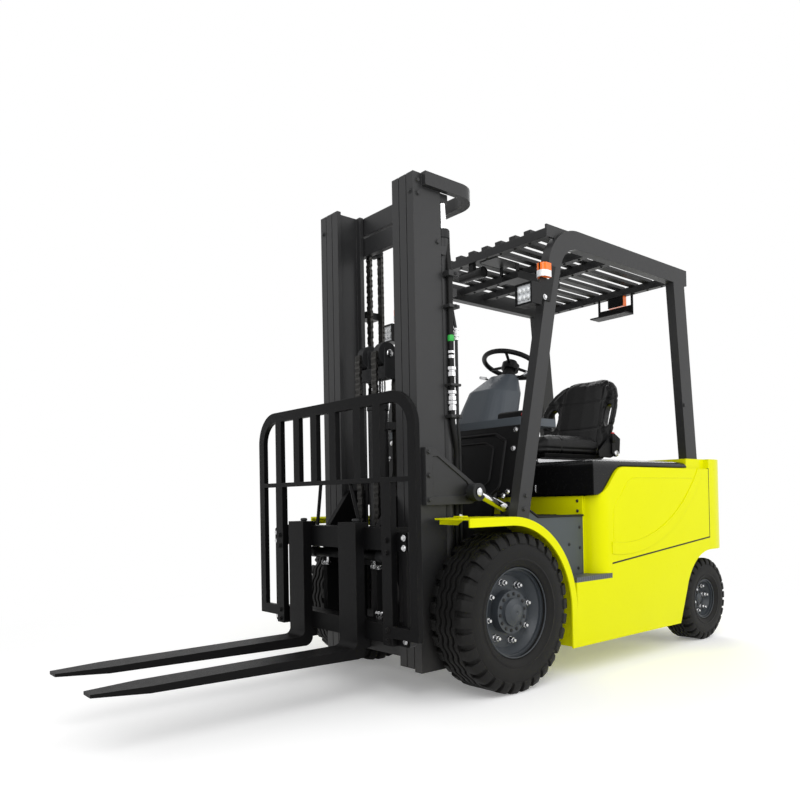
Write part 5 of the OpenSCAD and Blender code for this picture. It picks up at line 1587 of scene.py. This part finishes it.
@dataclass
class Seat:
    """The driver's bucket seat on its slide rails, with the belt's buckle."""

    shop: Workshop
    back: float = -1235.0
    front: float = -590.0
    deck: float = DECK
    half: float = 250.0
    lean: float = math.radians(14)
    bucket: float = 420.0

    def build(self) -> None:
        """Builds the pads, then the hard parts."""
        self._cushion()
        self._backrest()
        self._frame()
        self._buckle()

    def on_back(self, x: float, y: float, z: float) -> Point:
        """Turns a point of the leaned seat back into millimetres from the front axle."""
        c, s = math.cos(self.lean), math.sin(self.lean)
        return (self.back + x * c - z * s, y, self.deck + x * s + z * c)

    def scoop(self, y: float) -> float:
        """How far the bucket's face comes forward at a distance from its middle."""
        return self.bucket - math.sqrt(self.bucket ** 2 - y * y)

    def _cushion(self) -> None:
        """A crowned cushion with side bolsters and a rolled front edge."""
        rows = []
        for share in (0.0, 0.012, 0.05, 0.14, 0.3, 0.5, 0.68, 0.8, 0.88, 0.94, 0.98, 1.0):
            x = self.back + 22 + share * (self.front - self.back - 28)
            end = max(0.0, (share - 0.86) / 0.14)
            start = max(0.0, (0.05 - share) / 0.05)
            wide = (self.half - 14) * (1 - 0.26 * end ** 2.2) * (1 - 0.08 * start)
            high = 46 * math.sqrt(max(0.04, 1 - 0.93 * end ** 2.4)) * (1 - 0.3 * start)
            middle = self.deck + 34 + 52 + 6 * math.sin(math.pi * min(1.0, share * 1.1)) - 14 * end
            row = []
            for i in range(40):
                a = math.tau * i / 40
                y, z = wide * full(math.cos(a), 0.42), high * full(math.sin(a), 0.62)
                if z > 0:
                    side = held((abs(y) / wide - 0.55) / 0.3)
                    z += 17 * side * side * (3 - 2 * side) * (1 - end)
                reach = max(0.0, self.scoop(min(abs(y), 240)) - 6) * max(0.0, 1 - share / 0.3)
                row.append((x + reach, y, middle + z))
            rows.append(row)
        seams = [lambda p: abs(p.y) - 0.158, lambda p: p.x - (AXLE_X - 800) / MM,
                 lambda p: p.z - (self.deck + 78) / MM]
        Pad("seat_cushion_pad", "hood", 0.7).build(Form().loft(rows), seams, "seat_cushion")

    def _backrest(self) -> None:
        """A winged back, narrower at its round top, with a slot through each wing."""
        rows = []
        for z, wide, thick in ((44, 150, 10), (48, 178, 22), (66, 212, 30), (110, 236, 33), (180, 247, 34),
                               (260, 262, 34), (340, 264, 33), (410, 250, 31), (470, 222, 29), (516, 188, 25),
                               (548, 138, 18), (560, 92, 8)):
            row = []
            for i in range(44):
                a = math.tau * i / 44
                y, t = wide * full(math.cos(a), 0.55), thick * full(math.sin(a), 0.6)
                wing = held((abs(y) - 130) / 80) * max(0.0, 1 - abs(z - 260) / 250)
                crown = 9 * math.cos(min(1.0, abs(y) / 140) * math.pi / 2) if t > 0 else 0.0
                row.append(self.on_back(self.scoop(y) - 37 + t + 16 * wing + crown, y, z))
            rows.append(row)
        holes = Form()
        for s in SIDES:
            ring = [(s * 202 + 23 * full(math.cos(a), 0.8), 296 + 72 * full(math.sin(a), 0.8))
                    for a in (math.tau * i / 24 for i in range(24))]
            holes.loft([[self.on_back(x, y, z) for y, z in ring] for x in (-150, 180)])
        tilt = math.tan(self.lean)
        seams = [lambda p: abs(p.y) - 0.142,
                 lambda p: (p.z - 1.380) - (p.x - self.on_back(0, 0, 350)[0] / MM) * tilt,
                 lambda p: (p.z - 1.215) - (p.x - self.on_back(0, 0, 185)[0] / MM) * tilt]
        Pad("seat_back_pad", "hood", 0.7).build(Form().loft(rows), seams, "seat_back", holes)

    def _frame(self) -> None:
        """The seat's pan, its rails, the recliner plates and their knob."""
        pan = Form()
        b, f, d = self.back, self.front, self.deck
        levels = ((d + 22, 180, 20), (d + 34, 214, 0), (d + 52, 220, -6))
        pan.loft([[(b + 40 + k, -w, z), (f - 70 - k, -w, z), (f - 70 - k, w, z), (b + 40 + k, w, z)]
                  for z, w, k in levels])
        for s in SIDES:
            pan.prism([(b - 62, d + 64), (b + 30, d + 36), (b + 140, d + 40), (b + 146, d + 72),
                       (b + 40, d + 150), (b - 30, d + 172), (b - 70, d + 150)],
                      s * (self.half - 2), s * (self.half + 7), "y")
        pan.piece("seat_pan", "hood", Coat.PLASTIC, bevel=2.0)
        rails = Form()
        for s in SIDES:
            y = s * 165
            rails.prism([(y - 20, d), (y + 20, d), (y + 20, d + 5), (y + 12, d + 6), (y + 12, d + 24),
                         (y - 12, d + 24), (y - 12, d + 6), (y - 20, d + 5)], b + 30, f - 60, "x")
        rails.piece("seat_rails", "hood", Coat.STEEL, bevel=0.8)
        self.shop.tubes("seat_slide_lever", "hood", Coat.STEEL, [
            ([(f - 120, -165, d + 14), (f - 40, -165, d + 14), (f - 40, 165, d + 14),
              (f - 120, 165, d + 14)], 5.0, 25)])
        knob = Form()
        for s in SIDES:
            knob.lathe([(1, -4), (19, -4), (20, 6), (17, 13), (8, 15), (1, 15)],
                       (b - 8, s * (self.half + 10), d + 62), (0, s, 0), 24)
        knob.piece("recliner_knobs", "hood", Coat.STEEL)

    def _buckle(self) -> None:
        """The belt's buckle on its stalk, and the reel on the other side."""
        x, y, z = self.back + 16, self.half + 14, self.deck + 100
        stalk = Form()
        strap = [(x - 12, z - 40), (x + 12, z - 40), (x + 10, z + 34), (x - 10, z + 34)]
        stalk.prism(strap, y - 3, y + 3, "y")
        stalk.loft([[(x - w, y - t, h), (x + w, y - t, h), (x + w, y + t, h), (x - w, y + t, h)]
                    for h, w, t in ((z + 24, 12, 6), (z + 30, 16, 9), (z + 70, 17, 10), (z + 76, 14, 7))])
        stalk.box((x - 45, -y - 22, self.deck + 34), (x + 35, -y + 6, self.deck + 120))
        stalk.piece("belt_buckle", "hood", Coat.PLASTIC, bevel=2.0)
        button = Form().loft([[(x - w, y - 5, h), (x + w, y - 5, h), (x + w, y + 5, h), (x - w, y + 5, h)]
                              for h, w in ((z + 74, 11), (z + 80, 11), (z + 83, 8))])
        button.piece("buckle_button", "hood", Coat.RED, bevel=1.0)


@dataclass
class Cab:
    """The cowl's relief, the driver's controls and the floor's pedals."""

    shop: Workshop
    floor: float = 757.0
    cowl_front: float = -63.0
    slope: float = LEAN
    tilt: float = math.radians(22)
    wheel: Point = (-650.0, 0.0, 1590.0)

    def build(self) -> None:
        """Builds the cowl first, then the controls."""
        self._cowl()
        self._levers()
        self._column()
        self._pedals()
        self._panel()

    def on_cowl(self, y: float, z: float, out: float = 0.0) -> Point:
        """A point on the cowl's sloping front."""
        return (self.cowl_front - self.slope * (z - self.floor) + out, y, z)

    def on_column(self, x: float, y: float, z: float) -> Point:
        """A point about the column's axis, with Z up the column from the wheel's middle."""
        c, s = math.cos(self.tilt), math.sin(self.tilt)
        return (self.wheel[0] + x * c - z * s, y, self.wheel[2] + x * s + z * c)

    def _cowl(self) -> None:
        """A pressed outline on the cowl, its bolts and a ribbed vent."""
        outline = [(400, 1120), (400, 900), (330, 850), (-330, 850), (-400, 900), (-400, 1120), (-330, 1155),
                   (330, 1155), (400, 1120)]
        inner = [(y * 0.82, 1005 + (z - 1005) * 0.74) for y, z in outline]
        self.shop.tubes("cowl_relief", "chassis", Coat.PLASTIC, [
            ([self.on_cowl(y, z) for y, z in outline], 7.0, 40),
            ([self.on_cowl(y, z) for y, z in inner], 5.0, 35)])
        way = (1, 0, self.slope)
        spots = [Fixing(self.on_cowl(s * y, z), way) for s in SIDES
                 for y, z in ((452, 1168), (452, 1080), (452, 880), (428, 862), (446, 812))]
        self.shop.bolts("cowl_bolts", "chassis", spots)
        form = Form()
        for i in range(9):
            z = 940 + i * 16
            form.loft([[self.on_cowl(y, z + up, out)
                        for up, out in ((-4 + k, 1), (4 - k, 1), (4 - k, 6 - k), (-4 + k, 6 - k))]
                       for y, k in ((-120, 2), (-112, 0), (112, 0), (120, 2))])
        form.piece("cowl_vent", "chassis", Coat.PLASTIC)

    def _levers(self) -> None:
        """Five hydraulic levers in a row, each on a rubber boot, and the two stalks by the wheel."""
        boots, rods, knobs = Form(), [], Form()
        folds = [(26, 0), (27, 6), (20, 12), (22, 17), (15, 23), (16, 28), (9, 36), (7, 40)]
        ball = [(4, -6), (8, -4), (13, 8), (15, 22), (13, 36), (8, 43), (1, 45)]
        for i in range(5):
            y = -190 - i * 46
            foot, top = (-330, y, 1228), (-392, y - 6 + 3 * i, 1392)
            boots.lathe(folds, foot, (-0.35, 0, 1), 20)
            rods.append(([foot, (foot[0] - 22, y, 1290), top], 5.0, 30))
            knobs.lathe(ball, top, (-0.3, 0, 1), 18)
        boots.piece("lever_boots", "chassis", Coat.RUBBER)
        self.shop.tubes("levers", "chassis", Coat.STEEL, rods)
        knobs.piece("lever_knobs", "chassis", Coat.PLASTIC)
        x, _, z = self.on_column(0, 0, -95)
        runs, grip = [], Form()
        for s, drop in ((1, -12), (-1, 6)):
            tip = (x + 20, s * 168, z + drop + 26)
            runs.append(([(x, s * 24, z), (x + 6, s * 90, z + 4), tip], 4.5, 40))
            grip.lathe([(4, -34), (9, -30), (10.5, 0), (9, 14), (1, 17)], tip, (0.1, s, 0.25), 18)
        self.shop.tubes("stalks", "chassis", Coat.PLASTIC, runs)
        grip.piece("stalk_grips", "chassis", Coat.STEEL)

    def _column(self) -> None:
        """The ribbed boot under the wheel, the wheel's cap and its spinner knob."""
        axis = (-math.sin(self.tilt), 0, math.cos(self.tilt))
        folds = [(50, -196), (56, -190), (54, -170), (46, -158), (49, -148), (42, -136), (45, -126),
                 (38, -114), (41, -104), (36, -92), (38, -60), (34, -46), (33, -40)]
        boot = Form().lathe(folds, self.wheel, axis, 36)
        boot.piece("column_boot", "chassis", Coat.RUBBER)
        dome = [(34, -8), (36, 4), (31, 15), (18, 20), (1, 21)]
        cap = Form().lathe(dome, self.on_column(0, 0, 4), axis, 36)
        at = self.on_column(-100, 118, 8)
        cap.lathe([(9, -4), (10, 6), (7, 14), (17, 22), (21, 34), (20, 48), (13, 56), (1, 58)], at, axis, 24)
        cap.piece("wheel_cap", "steering_wheel", Coat.PLASTIC)

    def _pedals(self) -> None:
        """The brake and drive pedals with ribbed treads on bent arms."""
        arms, treads = [], Form()
        for y, wide, rise in ((40, 62, 96), (-120, 46, 84)):
            f, top = self.floor, self.floor + rise
            arms.append(([(-205, y, f + 2), (-235, y, f + 70), (-290, y, top)], 9.0, 30))
            treads.loft([[(x, y + a * wide, top + up + z)
                          for x, up in ((-330, -14), (-268, 28), (-262, 20), (-324, -22))]
                         for a, z in ((-1, -2), (-0.94, 0), (0.94, 0), (1, -2))])
            for i in range(5):
                x, z = -322 + i * 12, i * 8
                treads.box((x, y - wide * 0.85, top - 10 + z), (x + 5, y + wide * 0.85, top - 3 + z))
        self.shop.tubes("pedal_arms", "chassis", Coat.IRON, arms)
        treads.piece("pedal_treads", "chassis", Coat.RUBBER, bevel=1.0)

    def _panel(self) -> None:
        """A dark screen in its frame, a key switch and the stop button on the dash."""
        rows = ((-4, -4, -1), (-2, -2, 42), (6, 8, 50))
        bezel = Form().loft([[(-300 - k, 215 + e, 1228 + z), (-300 - k, 370 - e, 1228 + z),
                              (-375 + k, 370 - e, 1228 + z * 0.55), (-375 + k, 215 + e, 1228 + z * 0.55)]
                             for k, e, z in rows])
        bezel.piece("screen_frame", "chassis", Coat.PLASTIC, bevel=2.0)
        glass = Form().loft([[(-312, 232, 1269 + z), (-312, 353, 1269 + z),
                              (-364, 353, 1256 + z), (-364, 232, 1256 + z)] for z in (0, 9.0)])
        glass.piece("screen_glass", "chassis", Coat.GLOSS, bevel=1.0)
        key = Form().lathe([(17, -1), (17, 6), (13, 9), (6, 9), (5, 26), (1, 27)], (-360, 420, 1228), UP, 24)
        key.piece("key_switch", "chassis", Coat.STEEL)
        stop = Form().lathe([(12, -1), (12, 12), (23, 15), (25, 22), (21, 30), (10, 34), (1, 34)],
                            (-270, 420, 1228), UP, 28)
        stop.piece("stop_button", "chassis", Coat.RED)


@dataclass
class Guard:
    """The overhead guard's bolts, lamps, roof tray and grab handle."""

    shop: Workshop
    top: float = 2160.0
    front: float = -350.0
    back: float = -1607.0
    half: float = 526.0
    slat_foot: float = 2100.0
    slat_pitch: float = 95.2

    def build(self) -> None:
        """Bolts the slats, then hangs the lamps and the tray."""
        self._slat_bolts()
        self._lamps()
        self._tray()
        self._handle()

    def leg(self, z: float) -> float:
        """The middle of a front leg at a height."""
        return -108 - LEAN * (z - 770)

    def _slat_bolts(self) -> None:
        """A screw through each slat at every cross bar, and the legs' bolts."""
        first, run = self.front - 20, self.back - self.front
        bars = (first, first + 0.318 * run, first + 0.477 * run, self.back + 20)
        spots = []
        for z, way in ((self.top, UP), (self.slat_foot, (0, 0, -1))):
            spots += [Fixing((x, -476 + i * self.slat_pitch, z), way) for x in bars for i in range(1, 10)]
        self.shop.bolts("slat_screws", "chassis", spots, Coat.IRON, self.shop.screw)
        feet, sides = [], []
        for s in SIDES:
            feet += [Fixing((self.leg(z), s * self.half, z), (0, s, 0)) for z in (800, 860)]
            feet.append(Fixing((-1545, s * self.half, 1369), (0, s, 0)))
            sides += [Fixing((self.leg(z) - 12, s * 476, z), (0, -s, 0)) for z in (1690, 1640)]
            sides += [Fixing((self.leg(z) + 52, s * 532, z), (0, s, 0)) for z in (1790, 1890)]
        self.shop.bolts("leg_bolts", "chassis", feet, Coat.FRAME)
        self.shop.bolts("bracket_bolts", "chassis", sides)

    def _lamps(self) -> None:
        """Cooling fins and clear domes on each work lamp, and the clear half of each indicator."""
        fins, domes, clear = Form(), Form(), Form()
        x = self.leg(1742) + 42.5 + 46
        for s in SIDES:
            y = s * (self.half - 25)
            for i in range(7):
                z = 1752 + i * 13
                fins.prism([(y - 40, z), (y + 40, z), (y + 40, z + 4), (y - 40, z + 4)], x - 16, x + 2, "x")
            for column in (1, 2, 3):
                for row in (1, 2):
                    at = (x + 70, y - 50 + column * 25, 1742 + row * 100 / 3)
                    domes.lathe([(10.5, -6), (10, -2), (7, 1.5), (1, 3)], at, AHEAD, 20)
            back, y, r = -311.5, s * self.half, 28.7
            turns = [math.pi * i / 16 for i in range(17)]
            clear.prism([(back, y - r)] + [(back + r + r * math.sin(t), y - r * math.cos(t)) for t in turns]
                        + [(back, y + r)], 1882.5, 1913, "z")
        fins.piece("lamp_fins", "chassis", Coat.PLASTIC)
        clear.piece("clear_lenses", "chassis", Coat.LAMP)
        domes.piece("lamp_domes", "chassis", Coat.LAMP)

    def _tray(self) -> None:
        """The open channel and the spot lamp that hang under the roof's front."""
        z = 2022.0
        tray = Form()
        channel = [(34, z + 42), (34, z), (150, z), (150, z + 42),
                   (146, z + 42), (146, z + 4), (38, z + 4), (38, z + 42)]
        tray.prism(channel, -905, -545, "x")
        for x in (-770, -560):
            for y in (34, 146):
                tray.box((x, y, z + 30), (x + 26, y + 4, 2101 if x < -700 else z + 78))
        tray.box((-560, 34, z + 74), (-380, 150, z + 79))
        tray.box((-384, 34, z + 74), (-378, 150, 2101))
        tray.piece("roof_tray", "chassis", Coat.FRAME, bevel=1.0)
        barrel = [(6, -86), (24, -84), (26, -78), (26, 40), (29, 46), (29, 84), (25, 86), (24, 78), (1, 76)]
        spot = Form().lathe(barrel, (-372, -14, 2040), (0, 1, 0), 28)
        spot.box((-384, -30, 2058), (-360, 2, 2101))
        spot.piece("spot_lamp", "chassis", Coat.PLASTIC, bevel=1.0)

    def _handle(self) -> None:
        """The grab handle's ribbed grip with its horn button."""
        x, y = -1439.0, -501.0
        ribs = [(18.5 + 1.5 * (i % 2), 1545 + i * 6) for i in range(24)]
        grip = Form().lathe([(17, 1535)] + ribs + [(17, 1695)], (x, y, 0), UP, 28)
        grip.lathe([(17, 1724), (19, 1730), (19, 1744), (14, 1748)], (x, y, 0), UP, 28)
        grip.piece("handle_grip", "chassis", Coat.RUBBER)
        button = Form().lathe([(11, 1746), (11, 1752), (7, 1756), (1, 1757)], (x, y, 0), UP, 24)
        button.piece("horn_button", "chassis", Coat.RED)


@dataclass
class Mast:
    """The pipes, clamps, bolts and cylinder heads of the three-stage mast."""

    shop: Workshop
    side: float = 352.0
    bracket: float = 378.5

    def build(self) -> None:
        """Dresses the outer stage, then the stages that rise."""
        self._pipes()
        self._fixings()
        self._cylinders()

    def _pipes(self) -> None:
        """The hydraulic pipes behind the left rail, with their unions, sleeve and clamps."""
        y = self.side + 16
        rise = [(140, 320, 455), (120, 320, 490), (108, 318, 560), (108, 318, 930), (118, 336, 1050),
                (150, y - 6, 1120), (172, y, 1190), (172, y, 1860), (160, y - 24, 1960),
                (150, self.side - 20, 2040)]
        self.shop.tubes("mast_hose", "mast_outer", Coat.RUBBER, [(rise, 13.0, 140)])
        thin = [(138, 326, 480), (110, 330, 500), (92, 332, 560), (92, 332, 960), (102, 342, 1050),
                (128, y - 2, 1120), (146, y + 8, 1190), (146, y + 8, 1600), (150, y - 10, 1700),
                (158, self.side - 20, 1760)]
        self.shop.tubes("mast_pipe", "mast_outer", Coat.IRON, [(thin, 7.0, 110)])
        unions = Form()
        for x, yy, z, k in ((172, y, 1494, 0.8), (172, y, 1418, 1.0), (172, y, 1312, 1.0),
                            (172, y, 1266, 1.0), (146, y + 8, 1600, 0.62), (146, y + 8, 1572, 0.62)):
            nut = [(13 * k, -24 * k), (19 * k, -22 * k), (19 * k, -4 * k), (15 * k, -2 * k),
                   (15 * k, 4 * k), (21 * k, 6 * k), (21 * k, 20 * k), (13 * k, 23 * k)]
            unions.lathe(nut, (x, yy, z), UP, 6)
        unions.piece("pipe_unions", "mast_outer", Coat.STEEL, bevel=0.8)
        sleeve = Form().lathe([(13.2, 0), (14.6, 2), (14.6, 26), (13.2, 28)], (172, y, 1552), UP, 20)
        sleeve.piece("hose_sleeve", "mast_outer", Coat.GREEN)
        clamps = Form()
        for z, high in ((1210, 16), (1352, 12), (1700, 16), (1840, 26)):
            clamps.prism([(132, z), (196, z), (196, z + high), (132, z + high)], self.side - 6, y + 22, "y")
        clamps.piece("pipe_clamps", "mast_outer", Coat.MAST, bevel=3.0)
        spots = [Fixing((158, y + 22, z), (0, 1, 0)) for z in (1218, 1708, 1853)]
        self.shop.bolts("clamp_bolts", "mast_outer", spots, Coat.IRON, self.shop.screw)

    def _fixings(self) -> None:
        """The tilt pins' ends, the brackets' bolts and the bolts of the top bow."""
        ends = Form()
        for s in SIDES:
            ends.lathe([(17, -4), (20, 0), (20, 7), (14, 11), (1, 11)], (82, s * 438, 880), (0, s, 0), 28)
        ends.piece("tilt_pin_ends", "mast_outer", Coat.STEEL)
        spots = []
        for s in SIDES:
            spots += [Fixing((328, s * (self.bracket - 0.2), z), (0, s, 0)) for z in (850, 1056, 955)]
            spots += [Fixing((x, s * (self.side - 0.5), z), (0, s, 0))
                      for x, z in ((228, 1990), (340, 2235), (340, 2180))]
            spots.append(Fixing((366, s * 330, 2190), AHEAD))
        self.shop.bolts("mast_bolts", "mast_outer", spots, Coat.MAST)

    def _cylinders(self) -> None:
        """The glands of the lift cylinders and of the free lift cylinder, and the sheave's pin ends."""
        glands = Form()
        for s in SIDES:
            at = (170, s * 320, 0)
            glands.lathe([(31, 2020), (36, 2022), (36, 2056), (33, 2062), (21, 2063)], at, UP, 30)
            glands.lathe([(31, 402), (36, 404), (36, 440), (31, 444)], at, UP, 30)
        glands.piece("lift_glands", "mast_outer", Coat.IRON, bevel=1.0)
        free = Form().lathe([(48, 1270), (52, 1273), (52, 1314), (48, 1321), (31, 1322)], (300, 0, 0), UP, 36)
        free.piece("free_lift_gland", "mast_inner", Coat.IRON, bevel=1.0)
        pins = Form()
        for s in SIDES:
            pins.lathe([(1, -2), (16, -2), (18, 3), (12, 8), (1, 9)], (300, s * 94, 1530), (0, s, 0), 24)
        pins.piece("sheave_pins", "free_lift_head", Coat.STEEL)


@dataclass
class Carriage:
    """The carriage's bolts, the side shifter's cylinder fittings and hose, and the forks' pins."""

    shop: Workshop
    face: float = 598.0
    forks: tuple[float, float] = (164.0, -239.0)
    cylinder: tuple[float, float] = (493.5, 612.0)
    hose_radius: float = 6.5

    def build(self) -> None:
        """Dresses the carriage, the shifting frame and the forks."""
        self._bolts()
        self._fork_pins()
        self._shifter()
        self._hose()

    def _bolts(self) -> None:
        """Bolts of the backrest's posts and of the hooks, the sliding shoes and the backrest's struts."""
        posts = [Fixing((self.face, s * 412, z), AHEAD) for s in SIDES for z in (690, 640, 330, 286)]
        self.shop.bolts("post_bolts", "side_shifter", posts, Coat.FORK)
        hooks = [Fixing((568.5, s * 486, z), AHEAD) for s in SIDES for z in (700, 660, 330, 290)]
        self.shop.bolts("backrest_bolts", "side_shifter", hooks)
        shoes = Form()
        for s in SIDES:
            for z in (262, 640):
                shoe = [(s * 504, z + 6), (s * 504, z + 84), (s * 512, z + 78), (s * 512, z + 12)]
                shoes.prism(shoe, 534, 564, "x")
        shoes.piece("shift_shoes", "side_shifter", Coat.IRON, bevel=2.0)
        struts = [([(572, low, 745), (586, high, 925)], 8.0, 5) for low, high in ((-118, -66), (205, 160))]
        self.shop.tubes("backrest_struts", "side_shifter", Coat.FORK, struts)

    def _fork_pins(self) -> None:
        """The low head of the locking pin on top of each fork."""
        pins = Form()
        head = [(10, -8), (13, 0), (13, 6), (16, 8), (16, 14), (12, 18), (1, 19)]
        for y in self.forks:
            pins.lathe(head, (590, y + 34, 757), UP, 20)
        pins.piece("fork_pins", "side_shifter", Coat.IRON, bevel=0.8)

    def _shifter(self) -> None:
        """Glands and ports on the side shifter's cylinder, and the elbow on the lower bar."""
        x, z = self.cylinder
        rings = Form()
        for s in SIDES:
            rings.lathe([(22, 232), (26, 234), (26, 276), (23, 281), (14, 282)], (x, 0, z), (0, s, 0), 28)
        rings.piece("shift_glands", "carriage", Coat.IRON, bevel=0.8)
        ports = Form()
        stem = [(9, 16), (9, 35), (11, 37), (11, 55), (1, 57)]
        elbow = [(1, -10), (11, -10), (11, 8), (8, 10), (8, 20),
                 (12, 22), (12, 40), (9, 42), (9, 50), (1, 50)]
        for y in (-150, 193):
            ports.lathe(stem, (x, y, z), (0, 0, -1), 6)
            ports.lathe(elbow, (x, y, z - 48), (0, math.copysign(1, y), 0), 6)
        ports.lathe([(1, -24), (12, -24), (12, -6), (9, -4), (9, 6), (12, 8), (12, 14), (8, 16)],
                    (x, 236, 365), (0, 1, 0), 6)
        ports.box((x - 9, 216, 330), (x + 9, 234, 366))
        ports.piece("shift_ports", "carriage", Coat.STEEL, bevel=0.6)

    def _hose(self) -> None:
        """The hose that loops from the cylinder's port to the elbow on the carriage's lower bar."""
        marks = [(493.5, 241, 564), (494, 265, 564), (496, 313, 550), (499, 347, 514), (500, 361, 464),
                 (499, 347, 415), (496, 313, 379), (494, 265, 365), (493.5, 249, 365)]
        path = smooth_path(marks, 4)
        points = [place(*p) for p in path]
        tube = self.shop.tube([tuple(p) for p in path], self.hose_radius, 0.0, Coat.RUBBER)
        hose = Form().join(tube).piece("shift_hose", "carriage", Coat.RUBBER, tidy=False)


ASSEMBLIES = (Wheels, Chains, Body, Seat, Cab, Guard, Mast, Carriage)


def main() -> None:
    """Builds the studio and dresses the truck, one sub-assembly after another."""
    logging.basicConfig(level=logging.INFO, format="%(message)s")
    Studio().build()
    CadFinishes().dress()
    shop = Workshop()
    for assembly in ASSEMBLIES:
        assembly(shop).build()
        LOG.info("%s is dressed", assembly.__name__)


if __name__ == "__main__":
    main()
